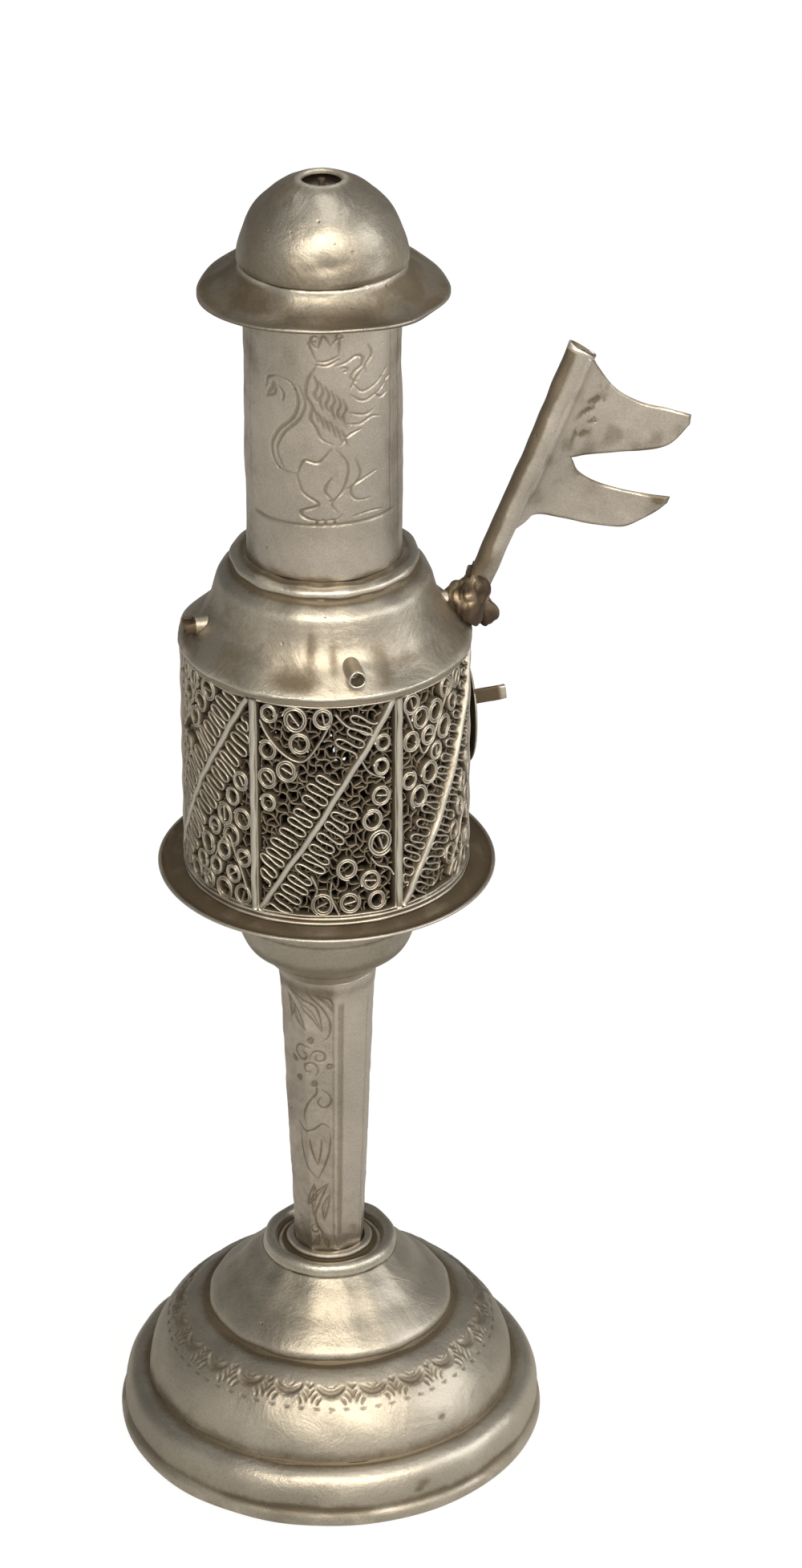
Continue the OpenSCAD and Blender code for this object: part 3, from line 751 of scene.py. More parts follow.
@dataclass
class Foot:
    """Stepped foot: a step on a rolled edge, a middle dome with a punched frieze, and a bell."""

    sheet: float = 0.5
    edge_radius: float = 1.88
    edge_centre: tuple[float, float] = (34.38, 2.02)
    crease: float = 48
    step_top: tuple[float, float] = (31.5, 10.2)
    dome_base: tuple[float, float] = (31.2, 11.1)
    dome_top: tuple[float, float] = (21.5, 23.2)
    neck: tuple[float, float] = (11.4, 34.2)
    bell_radius: float = 20.6
    repeats: int = 22
    frieze_height: float = 20.7
    frieze_radius: float = 24.6

    def build(self) -> None:
        """Makes the step with its rolled edge, and the dome with its bell."""
        self.build_step()
        self.build_dome()
        dress(Finish.DARK, "foot_edge_wire")

    def build_step(self) -> None:
        """The step's wall rises from a curl of sheet that is rolled round a wire."""
        curl = arc(self.edge_centre, self.edge_radius, -215, self.crease, 60)
        wall = quarter(tuple(curl[-1]), self.step_top, 3.0)
        lip = np.array([[self.dome_base[0] + 0.12, self.dome_base[1] - 0.35]])
        inner_curl = arc(self.edge_centre, self.edge_radius - self.sheet, self.crease + 2, -215, 30)
        outer = resample(np.vstack([curl, wall[1:], lip]), 0.33)
        inner = np.vstack([left_of(np.vstack([wall, lip]), self.sheet)[::-6], inner_curl])
        bruise = Ripple(0.10, 11, 35, 3)
        wave = Ripple(0.05, 14, 36, 4)
        wood = Ripple(0.8, 9, 36, 5)

        def relief(azimuth: Array, along: Array, profile: Points) -> Shaped:
            """Bruises on the wall, an uneven roll below it and dark spots low on the front."""
            on_roll = ramp(profile[:, 1:], 4.4, 3.2)
            height = bruise(azimuth, along) * (1 - on_roll) + wave(azimuth, along) * on_roll - 0.05 * on_roll
            spot = (around(azimuth, 26, 1.3) * hump(profile[:, 1:], 6.6, 0.7)
                    + around(azimuth, 24.5, 0.9) * hump(profile[:, 1:], 5.7, 0.45))
            brown = on_roll * np.clip(0.45 + 0.5 * wood(azimuth, along), 0, 1)
            under = hump(profile[:, 1:], 4.1, 0.7) * (0.55 + 0.3 * wood(azimuth, along))
            tarnish = brown + spot + np.clip(under, 0, 1)
            return height - 0.08 * spot, {"tarnish": tarnish, "wear": 0.2 * on_roll}

        shell = Lathe(outer, inner, azimuths(0.6, 1.2), relief, edge_reach=0.9).surface()
        add_piece("foot_step", shell, Finish.SHEET)

    def frieze(self) -> Engraving:
        """One repeat of the punched frieze: a crescent under an eye, leaves and a row of dashes."""
        cut = Engraving()
        cut.strokes.append(Stroke(arc((0, 2.55), 2.35, 210, 330, 14), 0.74, 0.42, 0.5))
        cut.strokes.append(Stroke(arc((0, 1.95), 0.85, 190, 350, 10), 0.2, 0.14))
        cut.strokes.append(Stroke(arc((0, 2.3), 3.0, 226, 314, 14), 0.16, 0.10))
        pitch = 2 * math.pi * self.frieze_radius / self.repeats
        for side in (-1, 1):
            for foot_at, head_at in (((2.15, 0.35), (3.05, -1.35)), ((2.75, 0.95), (3.35, -0.55)),
                                     ((1.5, -0.55), (2.2, -1.75)), ((2.9, 1.9), (3.45, 0.9))):
                low, high = np.array(foot_at) * (side, 1), np.array(head_at) * (side, 1)
                bow = (low + high) / 2 + np.array([0.22 * side, 0.08])
                cut.line(low, bow, high, half_width=0.3, depth=0.20)
        for x in (-2.1, 0.2, 2.4):
            cut.line((x - 0.55, -2.35), (x, -2.5), (x + 0.5, -2.45), half_width=0.24, depth=0.16)
        extra = [Stroke(s.line + (turn * pitch, 0), s.half_width, s.depth, s.taper)
                 for s in cut.strokes for turn in (-1, 1)]
        cut.strokes += extra
        return cut

    def build_dome(self) -> None:
        """The middle dome, its frieze, the groove above it and the bell up to the neck."""
        r, z = self.neck
        top = self.dome_top[1]

        def bell(share: float) -> float:
            """Radius at a share of the way from the neck to the bell's base."""
            return r + (self.bell_radius - r) * share

        foot = [[self.dome_base[0] + 0.15, self.dome_base[1] - 0.7]]
        slope = smooth([(bell(1), top + 0.15), (bell(1), top + 1.1), (bell(1) - 0.5, top + 2.1),
                        (bell(0.74), top + 4), (bell(0.5), top + 6), (bell(0.27), z - 2.6),
                        (r + 0.7, z - 0.8), (r - 0.1, z)], 10)
        outer = np.vstack([foot, quarter(self.dome_base, self.dome_top, 1.6), slope, [[r - 2.6, z]]])
        outer = resample(outer, 0.25)
        bruise = Ripple(0.075, 10, 25, 11)
        cloud = Ripple(1.0, 12, 25, 12)
        cut = self.frieze()
        pitch = 2 * math.pi * self.frieze_radius / self.repeats

        def relief(azimuth: Array, along: Array, profile: Points) -> Shaped:
            """Bruises, the frieze, and a few dark spots."""
            centre = np.interp(self.frieze_height, profile[:120, 1], along[:120, 0])
            up = along - centre
            rows = np.abs(up[:, 0]) < 4.2
            number = np.round(azimuth * self.frieze_radius / pitch)
            sideways = azimuth * self.frieze_radius - number * pitch
            hand = 0.12 * np.sin(number * 12.9) + 0 * sideways
            height = bruise(azimuth, along)
            x, y = np.broadcast_arrays(sideways + hand, up[rows] + 0.1 * np.sin(number * 7.7))
            depth, dark = cut.depth_at(x, y)
            height[rows] -= depth
            groove = np.zeros(height.shape)
            groove[rows] = dark * 1.2
            dirt = np.zeros(height.shape)
            fade = np.clip(0.35 - 0.1 * np.abs(up[rows]), 0, 1)
            dirt[rows] = fade * (0.6 + 0.3 * cloud(azimuth, along[rows]))
            spot = around(azimuth, 38, 1.1) * hump(profile[:, 1:], 14.5, 0.5)
            low = ramp(profile[:, 1:], self.dome_base[1] + 2.2, self.dome_base[1] - 0.4) + 0 * azimuth
            seat = np.exp(-((along - np.interp(top, profile[:120, 1], along[:120, 0]) - 0.2) / 0.9) ** 2)
            return height - 0.1 * spot, {"groove": groove, "tarnish": dirt + spot + 0.8 * seat + 0.5 * low}

        shell = sheet_shell(outer, self.sheet, azimuths(0.42, 1.35, 92), 8, relief=relief, edge_reach=0.9)
        add_piece("foot_dome", shell, Finish.SHEET, "foot_shell")


# ---- stem ----


@dataclass
class Stem:
    """Tapered stem in its collar, with an engraved panel beside a plain one, under a calyx."""

    sheet: float = 0.5
    low: tuple[float, float] = (5.9, 33.25)
    high: tuple[float, float] = (8.25, 90.05)
    sides: int = 8
    first_edge: float = 15
    flatness: float = 1.0
    collar_base: float = 34.25
    cut_width: float = 1.5
    cut_depth: float = 1.6
    calyx_low: tuple[float, float] = (8.35, 90.1)
    calyx_high: tuple[float, float] = (15.9, 109.5)

    def build(self) -> None:
        """Makes the socket, collar, stem and calyx."""
        self.build_collar()
        self.build_stem()
        self.build_calyx()

    def build_collar(self) -> None:
        """A ring of soft wire round a dark cup, with a small bead against the stem."""
        wave = Ripple(0.06, 6, 10, 21)
        z = self.collar_base
        ring = smooth([(8.75, z), (11.15, z + 0.05), (11.25, z + 0.8), (10.9, z + 1.7), (10.1, z + 2.15),
                       (9.3, z + 1.75), (8.85, z + 0.8)], 8)
        turns = azimuths(1.5, 3)

        def rubbed(azimuth: Array, along: Array, profile: Points) -> Shaped:
            """Uneven wire, worn bright along its top."""
            return wave(azimuth, along), {"wear": 0.5 * hump(profile[:, 1:] - z, 2.0, 0.5) + 0 * azimuth}

        def stained(azimuth: Array, along: Array, profile: Points) -> Shaped:
            """Dark beyond the bead."""
            return wave(azimuth, along), {"tarnish": ramp(profile[:, :1], 6.6, 7.4) + 0 * azimuth}

        shell = Lathe(resample(ring, 0.2), np.array([[8.8, z + 0.4]]), turns, rubbed,
                      edge_reach=0.3).surface()
        add_piece("stem_collar_ring", shell, Finish.SHEET, "stem_collar")
        cup = np.array([[5.95, 32.6], [9.95, 32.6], [9.95, 33.6], [8.7, 33.65], [8.7, z + 0.35],
                        [7.35, z + 0.75]])
        bead = smooth([(7.2, z + 0.8), (7.15, z + 1.45), (6.7, z + 1.8), (6.25, z + 1.85), (5.96, z + 1.8)],
                      6)
        outline = resample(np.vstack([cup, bead]), 0.2)
        shell = Lathe(outline, np.array([[5.95, 33.5]]), turns, stained, edge_reach=0.3).surface()
        add_piece("stem_cup", shell, Finish.DARK, "stem_socket")

    def scrollwork(self) -> Engraving:
        """The engraved panel: leaves on a winding stalk, drawn as distance round and height."""
        cut = Engraving()
        cut.line((-3.2, 88.2), (-2.2, 86.5), (-0.8, 84.6), (0.3, 82.2), (0.1, 79.6), (-1.0, 78.4))
        cut.leaf((-6.6, 87.6), (-1.0, 80.2), 0.9, 1.2).leaf((-6.4, 84.8), (-3.6, 80.4), -0.5, 0.9)
        cut.leaf((-2.0, 87.6), (0.9, 84.2), 0.5, 0.7).leaf((-7.6, 86.2), (-7.0, 81.6), 0.4, 0.7)
        cut.scroll((-4.4, 75.6), 1.9, 40, 1.1).scroll((-1.6, 75.2), 1.5, 200, -1.2)
        cut.scroll((-3.2, 72.8), 1.6, 300, 1.0)
        for x, z, a in ((-5.9, 73.4, 150), (-0.4, 73.0, 20), (-2.4, 70.6, 250), (-4.9, 70.9, 210),
                        (-2.9, 77.6, 80)):
            t = np.radians(a)
            cut.leaf((x, z), (x + 1.5 * math.cos(t), z + 1.5 * math.sin(t)), 0.1, 0.55)
        cut.line((-2.6, 70.6), (-2.1, 68.2), (-3.4, 66.2), (-4.6, 63.4), (-4.2, 61.4))
        cut.line((-1.2, 68.8), (0.2, 67.6), (0.3, 66.0), (-0.9, 65.0), (-2.0, 66.0), (-1.4, 67.2))
        cut.line((-6.2, 61.2), (-4.6, 60.2), (-2.8, 60.6), (-1.2, 61.8), (0.1, 61.2))
        cut.line((-5.6, 59.6), (-5.4, 55.6), (-3.6, 52.0), (-2.2, 50.6))
        cut.line((0.2, 60.0), (0.1, 56.6), (-1.0, 53.0), (-2.2, 50.6))
        cut.line((-3.6, 58.8), (-3.2, 56.0), (-2.3, 53.4)).line((-1.4, 58.6), (-1.6, 56.0), (-2.2, 53.4))
        cut.leaf((-0.2, 49.8), (-3.4, 42.8), -1.0, 1.0).leaf((-3.0, 49.6), (-4.8, 44.8), 0.5, 0.8)
        cut.leaf((0.1, 47.6), (-1.2, 41.8), -0.5, 0.7)
        cut.line((-1.8, 45.6), (-2.9, 43.4), (-2.6, 41.0), (-1.6, 39.2), (-2.2, 37.6))
        cut.scroll((-2.9, 40.2), 1.0, 90, 1.1)
        cut.leaf((-2.2, 39.0), (-4.2, 36.6), 0.3, 0.6).leaf((-1.7, 38.4), (-0.4, 36.4), 0.3, 0.5)
        return cut.bolder(self.cut_width, self.cut_depth)

    def build_stem(self) -> None:
        """A tapered tube, pressed a little flat between soft edges. The flatness pulls the radius
        towards that of a regular prism: the apothem over the cosine of the angle to its side."""
        outer = resample(np.array([self.low, self.high]), 0.175)
        wave = Ripple(0.035, 7, 7, 31)
        fine = Ripple(0.02, 2.6, 7, 32)
        cut = self.scrollwork()
        half = math.pi / self.sides

        def relief(azimuth: Array, along: Array, profile: Points) -> Shaped:
            """Flats, the engraved panel, its border lines and dents."""
            radius, z = profile[:, :1], profile[:, 1:]
            turn = (azimuth - math.radians(self.first_edge)) % (2 * half) - half
            round_top = ramp(z, 90.2, 84)
            prism = math.cos(half) / np.sqrt(np.cos(turn) ** 2 + 0.0005)
            flat = radius * (prism - 1) * self.flatness * round_top
            depth, dark = cut.depth_at(azimuth * 7.2 * np.ones_like(z), z * np.ones_like(azimuth))
            lines, ink = np.zeros(depth.shape), np.zeros(depth.shape)
            ends = ramp(z, 86.6, 85.2) * ramp(z, 37.2, 38.4)
            for at, width, strength in ((6.5, 0.15, 0.8), (13.6, 0.17, 0.9), (16.2, 0.17, 1.2),
                                        (18.8, 0.2, 1.5), (57, 0.12, 0.5)):
                gap = (azimuth - np.radians(at)) * radius / width
                lines += 0.09 * strength * np.exp(-gap**2) * ends
                ink += min(strength, 1) * np.exp(-gap**2) * ends
            foot = ramp(z, 40, 34.5)
            shade = 0.35 * foot + 0.45 * hump(z, 88.2, 1.3) + 0 * azimuth
            panel = 0.3 * ramp(np.degrees(azimuth), 10, 4) * ramp(np.degrees(azimuth), -100, -80)
            return (flat + wave(azimuth, z) + fine(azimuth, z) - depth - lines,
                    {"groove": 1.1 * dark + ink, "tarnish": shade + panel * np.ones_like(z)})

        inner = np.array([[r * math.cos(half) - self.sheet, z] for r, z in (self.high, self.low)])
        shell = Lathe(outer, resample(inner, 4), azimuths(1.35, 6, 112), relief).surface()
        add_piece("stem_tube", shell, Finish.TUBE, "stem")

    def build_calyx(self) -> None:
        """A smooth cup that opens under the tray, with two soft rings where it meets the stem."""
        (r, z), high = self.calyx_low, self.calyx_high
        outer = resample(np.vstack([smooth([(r, z), (r + 0.75, z + 0.85), (r + 2.1, z + 2.35)], 8),
                                    quarter(high, (r + 3.4, z + 3.75), 2.1, 84)[::-1]]), 0.25)
        wave = Ripple(0.05, 9, 12, 41)

        def relief(azimuth: Array, along: Array, profile: Points) -> Shaped:
            """Two turned lines near the foot, and a darker band above them."""
            z = profile[:, 1:]
            line = sum(hump(z, at, 0.28) for at in (92.6, 94.2, 101.0))
            # a darker band round the cup, above the turned lines
            stain = hump(z, 95.5, 1.3) * 0.6
            return wave(azimuth, along) - 0.10 * line, {"tarnish": 0.5 * line + stain + 0 * azimuth}

        add_piece("calyx_cup", sheet_shell(outer, self.sheet, azimuths(1, 2), 6, relief=relief),
                  Finish.SHEET, "calyx")


# ---- chamber ----


@dataclass
class Tray:
    """Shallow dish under the chamber, with the double wire ring that the openwork stands on."""

    under: float = 109.55
    sheet: float = 0.5
    hole: float = 1.45
    wall: float = 23.1
    rim: float = 27.6

    def build(self) -> None:
        """Makes the dish and the base ring."""
        flat = [(self.hole, self.under), (10, self.under), (self.wall + 0.9, self.under)]
        lip = smooth([(self.wall + 1.7, self.under - 0.15), (self.wall + 2.6, self.under - 0.55),
                      (self.wall + 3.6, self.under - 0.45), (self.rim, self.under + 0.1)], 8)
        outer = resample(np.vstack([flat, lip]), 0.45)
        bend = Ripple(0.22, 34, 27, 51, 8)
        dirt = Ripple(0.5, 8, 24, 52)

        def warp(points: Points) -> Points:
            """The rim rises and falls a little, most at its edge."""
            radius, azimuth = about_axis(points)
            share = ramp(radius, self.wall + 0.3, self.rim)
            moved = points.copy()
            moved[:, 2] += share * np.clip(bend(azimuth, 0 * azimuth), -0.3, 0.42)
            return moved

        def relief(azimuth: Array, along: Array, profile: Points) -> Shaped:
            """Brown cloud below, and a rim that is rubbed bright."""
            edge = ramp(profile[:, :1], self.rim - 0.7, self.rim - 0.1)
            brown = (1 - edge) * (0.35 + 0.3 * dirt(azimuth, along))
            return 0 * azimuth + 0 * along, {"tarnish": brown, "wear": edge + 0 * azimuth}

        above = left_of(outer, self.sheet)[::-1]
        dish = Lathe(outer, above, azimuths(0.9, 1.8), relief, warp, inner_tarnish=0.75).surface()
        radius, azimuth = about_axis(dish.points)
        top = dish.points[:, 2] > self.under + 0.2 * ramp(radius, self.wall, self.rim) - 0.1
        bright = ramp(radius, self.rim - 0.55, self.rim - 0.15)
        cloud = 0.72 + 0.25 * dirt(azimuth, radius)
        dish.masks["tarnish"] = np.where(top, np.clip(cloud, 0, 1) * (1 - bright), dish.masks["tarnish"])
        dish.masks["wear"] = np.where(top, bright, dish.masks["wear"])
        add_piece("tray_dish", dish, Finish.DARK, "tray")
        self.build_ring()

    def build_ring(self) -> None:
        """Two soft wires, one on the other, seen from outside as a double line."""
        z = self.under + self.sheet + 0.05
        r = self.wall
        line = smooth([(r - 0.9, z), (r + 0.15, z + 0.02), (r + 0.27, z + 0.3), (r + 0.02, z + 0.62),
                       (r + 0.02, z + 0.72), (r + 0.22, z + 1.02), (r + 0.05, z + 1.3), (r - 0.5, z + 1.34),
                       (r - 0.9, z + 1.34)], 6)
        wave = Ripple(0.04, 5, 23, 55)

        def relief(azimuth: Array, along: Array, profile: Points) -> Shaped:
            """Uneven wires, a little dull all over."""
            return wave(azimuth, along), {"tarnish": 0.25 + 0 * along * azimuth}

        shell = Lathe(resample(line, 0.13), np.array([[r - 1.0, z + 0.7]]), azimuths(1, 2), relief,
                      edge_reach=0.18).surface()
        add_piece("chamber_base_wires", shell, Finish.DARK, "chamber_base_ring")


@dataclass
class Openwork:
    """Round wall of six filigree panels: looped ribbon along a diagonal strap, coils in the corners.

    A panel is drawn flat, as distance round the wall from its middle and height above its middle,
    and then laid round the axis.
    """

    outer: float = 23.1
    depth: float = 2.0
    ribbon: float = 0.34
    middle: float = 130.55
    half_height: float = 19.05
    half_width: float = 11.5
    sides: int = 6
    door_side: int = 3
    coil: float = 1.9
    loop_pitch: float = 2.3
    loop_length: float = 4.3
    border: float = 0.35
    coil_turns: float = 2.1
    backing_pitch: float = 1.55
    backing_width: float = 0.3
    backing_front: float = 1.1
    backing_back: float = 0.6
    strap_width: float = 0.9
    post_width: float = 0.92
    strap_depth: float = 2.3
    strap_proud: float = 0.25
    door_azimuth: float = 120
    door_height: float = 132.65
    door_clear: float = 10.35

    def lean(self) -> tuple[Array, Array]:
        """Unit vector up the diagonal, and the one square to it, up and to the left."""
        along = np.array([self.half_width, self.half_height])
        along = along / np.linalg.norm(along)
        return along, np.array([-along[1], along[0]])

    def loops(self, side: int, rng: np.random.Generator, start: float, end: float) -> list[Points]:
        """Looped ribbon on one side of the diagonal, bent into hairpins.

        It runs along by a pitch for each turn, plus a swing at twice the rate that opens each bend,
        and out and back by half its length times one less cos t. The length shrinks where the
        panel's border is near.

        Args:
            side: 1 above the diagonal and -1 below.
            rng: Draws the hand's unevenness.
            start: Where along the diagonal it begins, in mm from the middle.
            end: Where it ends.

        Returns:
            The ribbon's centre lines.
        """
        along, out = self.lean()
        out = out * side
        turns = int((end - start) / self.loop_pitch)
        t = np.linspace(0, 2 * math.pi * turns, turns * 24 + 1)
        k = np.minimum((t / (2 * math.pi)).astype(int), turns - 1)
        opening = rng.uniform(0.11, 0.155, turns)[k] * self.loop_pitch
        slant = rng.normal(0, 0.05, turns)[k]
        drift = 0.15 * np.sin(t * 0.31 + rng.uniform(0, 6))
        run = start + self.loop_pitch * t / (2 * math.pi) + opening * np.sin(2 * t) + drift
        base = run[:, None] * along + 0.75 * out
        room_x = (self.half_width - self.border - np.sign(out[0]) * base[:, 0]) / abs(out[0])
        room_y = (self.half_height - self.border - np.sign(out[1]) * base[:, 1]) / abs(out[1])
        usual = self.loop_length * rng.uniform(0.88, 1.08, turns)[k]
        longest = np.clip(np.minimum(room_x, room_y), 0.4, usual)
        reach = longest * (1 - np.cos(t)) / 2
        return [base + reach[:, None] * out + (slant * reach)[:, None] * along]

    def backing(self, rng: np.random.Generator) -> list[Points]:
        """Fine wavy wires behind the ribbon, along the diagonal and across it, that fill the panel."""
        along, out = self.lean()
        found = []
        for run, step, first in ((along, out, 0.4), (out, along, 0.9)):
            for gap in np.arange(-26, 26, self.backing_pitch):
                t = np.arange(-26, 26, 0.55)
                wave = 0.42 * np.sin(t * rng.uniform(1.4, 2.4) + rng.uniform(0, 6)) + rng.uniform(-0.3, 0.3)
                line = t[:, None] * run + (gap + first + wave)[:, None] * step
                keep = (np.abs(line[:, 0]) < self.half_width) & (np.abs(line[:, 1]) < self.half_height)
                if keep.sum() > 4:
                    found.append(line[keep])
        return found

    def coil_line(self, centre: tuple, radius: float, start: float, barred: bool) -> Points:
        """A coil: a spiral that opens from its inner end, which may cross the coil's eye as a bar.

        Args:
            centre: The coil's middle on the panel.
            radius: Its outer radius.
            start: Angle of its inner end, in radians.
            barred: Whether the bar is there.

        Returns:
            The ribbon's centre line.
        """
        t = np.linspace(0, 1, 52)
        a = start + 2 * math.pi * self.coil_turns * t
        r = radius * (0.60 + 0.40 * t**0.9)
        line = np.stack([0.92 * r * np.cos(a), 1.06 * r * np.sin(a)], 1)
        if barred:
            bar = np.linspace(-0.55, 0.45, 6)[:, None] * line[0][None] / 0.62
            line = np.vstack([bar, line])
        return line + np.array(centre)

    def front_layout(self) -> tuple[list[tuple], list[Points]]:
        """Coils and loose wires of the front panel, listed: centre, radius and whether it is barred."""
        coils = [((-9.3, 17.0), 1.6, False), ((-5.0, 16.4), 2.2, True), ((-0.4, 16.9), 1.8, True),
                 ((-4.2, 12.2), 1.9, False), ((-9.6, 10.4), 1.7, False), ((-6.4, 7.2), 1.9, True),
                 ((-9.7, 5.4), 1.8, True), ((-9.6, 0.9), 1.5, False), ((9.0, 2.2), 1.8, True),
                 ((7.4, -2.0), 1.9, False), ((8.9, -6.3), 2.3, True), ((3.3, -10.4), 1.9, False),
                 ((7.2, -13.0), 1.8, True), ((3.7, -16.6), 1.9, True), ((8.2, -16.6), 1.7, False),
                 ((-0.7, -16.8), 2.0, True), ((9.3, 11.6), 1.5, False), ((9.0, 7.4), 1.5, False)]
        wires = [((-10.9, 15.6), (-9.4, 12.9), (-6.6, 9.9), (-3.6, 9.2), (-1.0, 12.6), (0.8, 16.2)),
                 ((1.4, 17.8), (3.4, 15.4), (5.9, 14.2), (7.6, 13.2)), ((5.6, 9.3), (7.0, 6.7), (9.6, 5.2)),
                 ((7.1, -8.6), (8.4, -10.4), (10.2, -11.2), (11.1, -12.6)),
                 ((0.8, -12.4), (0.6, -15.2), (1.9, -18.6)), ((-2.6, -11.4), (-1.6, -13.8), (-1.9, -15.2))]
        return coils, [resample(smooth(w, 10), 0.4) for w in wires]

    def scattered_layout(self, rng: np.random.Generator) -> tuple[list[tuple], list[Points]]:
        """Coils packed in the two corners of any other panel, shaken a little, and two wires."""
        _, out = self.lean()
        pitch = 2.04 * self.coil
        x, y = np.meshgrid(np.arange(-3, 4) * pitch, np.arange(-6, 7) * pitch * 0.9)
        x = x + np.where(np.arange(len(x))[:, None] % 2 == 0, 0, pitch / 2)
        spots = np.stack([x.ravel(), y.ravel()], 1) + rng.normal(0, 0.2, (x.size, 2))
        away = np.abs(spots @ out)
        inside = np.all(np.abs(spots) < np.array([self.half_width, self.half_height]) - 1.5, axis=1)
        kept = spots[inside & (away > self.loop_length + 1.5)]
        coils = [(tuple(c), self.coil * rng.uniform(0.8, 1.08), bool(rng.random() < 0.45))
                 for c in kept if rng.random() > 0.08]
        wires = []
        for side in (-1, 1):
            start = np.array([-side * (self.half_width - 0.6), side * (self.half_height - rng.uniform(2, 5))])
            bow = start * (0.62, 0.42) + rng.normal(0, 0.8, 2)
            end = np.array([side * rng.uniform(-2, 1), side * (self.half_height - 1.2)])
            wires.append(resample(smooth([start, (start + bow) / 2 - (0, side * 1.2), bow, end], 10), 0.4))
        return coils, wires

    def lines(self, number: int) -> list[Points]:
        """Every ribbon's centre line on one panel, drawn flat, for the panel of that number."""
        rng = np.random.default_rng(100 + number)
        coils, wires = self.front_layout() if number == 1 else self.scattered_layout(rng)
        found = [self.coil_line(c, r, rng.uniform(0, 6.28), barred) for c, r, barred in coils] + wires
        reach = math.hypot(self.half_width, self.half_height)
        for side in (1, -1):
            if number == 1 and side == -1:
                found += self.loops(side, rng, -reach + 2.0, 4.6)
            elif number == 1:
                found += self.loops(side, rng, -reach + 5.2, 8.2) + self.loops(side, rng, 10.8, reach - 3.4)
            else:
                found += self.loops(side, rng, -reach + 1.6 + 2 * (side > 0), reach - 1.6 - 2 * (side < 0))
        w, h = self.half_width, self.half_height
        for x in (-w - 0.05, w + 0.05):
            found.append(resample(np.array([[x, -h], [x, h]]), 1.2))
        for y in (-h + 0.2, h - 0.2):
            found.append(resample(np.array([[-w, y], [w, y]]), 1.2))
        return found

    def ribbon_surface(self, line: Points, azimuth: float, width: float, inner: float, outer: float,
                       rng: np.random.Generator, bright: float = 1.0) -> Surface:
        """A ribbon on edge: its line, half a width to each side, carried from the inner radius to
        the outer one, with its outer edge narrowed by a bevel. The edge wanders in and out a
        little, as a sine along the line.

        Args:
            line: Centre line on the flat panel.
            azimuth: Where the panel's middle is, in degrees.
            width: Thickness of the ribbon.
            inner: Radius of its back edge.
            outer: Radius of its front edge.
            rng: Draws the wandering and the tone.
            bright: How far the front edge is rubbed bright, from 0 to 1.

        Returns:
            The closed ribbon.
        """
        side = across(line)
        length = arc_length(line)
        wander = 0.07 * np.sin(length * rng.uniform(0.5, 1.3) + rng.uniform(0, 6)) + rng.uniform(-0.12, 0.06)
        levels = np.array([inner, inner, outer - 0.16, outer, outer, outer - 0.16])
        sides = np.array([0.5, -0.5, -0.5, -0.26, 0.26, 0.5]) * width
        moves = np.array([0, 0, 1, 1, 1, 1])
        flat = line[:, None] + sides[None, :, None] * side[:, None]
        radius = levels[None] + moves[None] * wander[:, None]
        place = on_axis(radius, math.radians(azimuth) + flat[..., 0] / self.outer, self.middle + flat[..., 1])
        n = len(line)
        faces = [grid_faces(n, 6, False, True)]
        ends = np.array([[0, 1, 2, 5], [2, 3, 4, 5]])
        faces += [ends, (n - 1) * 6 + ends[:, ::-1]]
        tone = rng.uniform(0.75, 1.0)
        dull = 0.7 - 0.7 * bright
        # front edge rubbed bright; back edges painted dark, tarnish and painted shade for the shaded inside
        # of the chamber
        masks = {"wear": np.tile(np.array([0, 0, 0.1, 1, 1, 0.1]) * tone * bright, n),
                 "tarnish": np.tile(np.array([1, 1, 0.6, dull, dull, 0.6]), n)}
        return Surface(place.reshape(-1, 3), faces, masks).outwards()

    def clear_of_door(self, line: Points, azimuth: float, opening: float) -> list[Points]:
        """The stretches of a line that stay outside the door's round opening.

        Args:
            line: The line on the flat panel.
            azimuth: Where the panel's middle is, in degrees.
            opening: Radius of the opening.

        Returns:
            The stretches of more than three points.
        """
        turn = math.radians(azimuth - self.door_azimuth)
        x = np.sin(turn + line[:, 0] / self.outer) * self.outer
        away = np.hypot(x, self.middle + line[:, 1] - self.door_height)
        keep = away > opening
        edges = np.flatnonzero(np.diff(keep.astype(int))) + 1
        return [part for part, ok in zip(np.split(line, edges), np.split(keep, edges))
                if ok[0] and len(part) > 3]

    def cut_for_door(self, lines: Sequence[Points], number: int) -> list[Points]:
        """The lines of a panel, which are cut at the opening on the door's own side."""
        if number != self.door_side:
            return list(lines)
        azimuth = 360 / self.sides * (number - 1)
        return [part for line in lines for part in self.clear_of_door(line, azimuth, self.door_clear)]

    def build(self) -> None:
        """Makes the six panels, their diagonal straps and the posts between them."""
        back = self.outer - self.depth
        for number in range(1, self.sides + 1):
            azimuth = 360 / self.sides * (number - 1)
            rng = np.random.default_rng(500 + number)
            parts = [self.ribbon_surface(line, azimuth, self.ribbon, back, self.outer, rng)
                     for line in self.cut_for_door(self.lines(number), number)]
            parts += [self.ribbon_surface(line, azimuth, self.backing_width, back - self.backing_back,
                                          self.outer - self.backing_front, rng, 0.15)
                      for line in self.cut_for_door(self.backing(rng), number)]
            add_piece(f"filigree_{number}", Surface.joined(parts), Finish.FILIGREE,
                      f"filigree_panel_{number}")
            self.build_strap(number, azimuth, rng)
        self.build_posts()

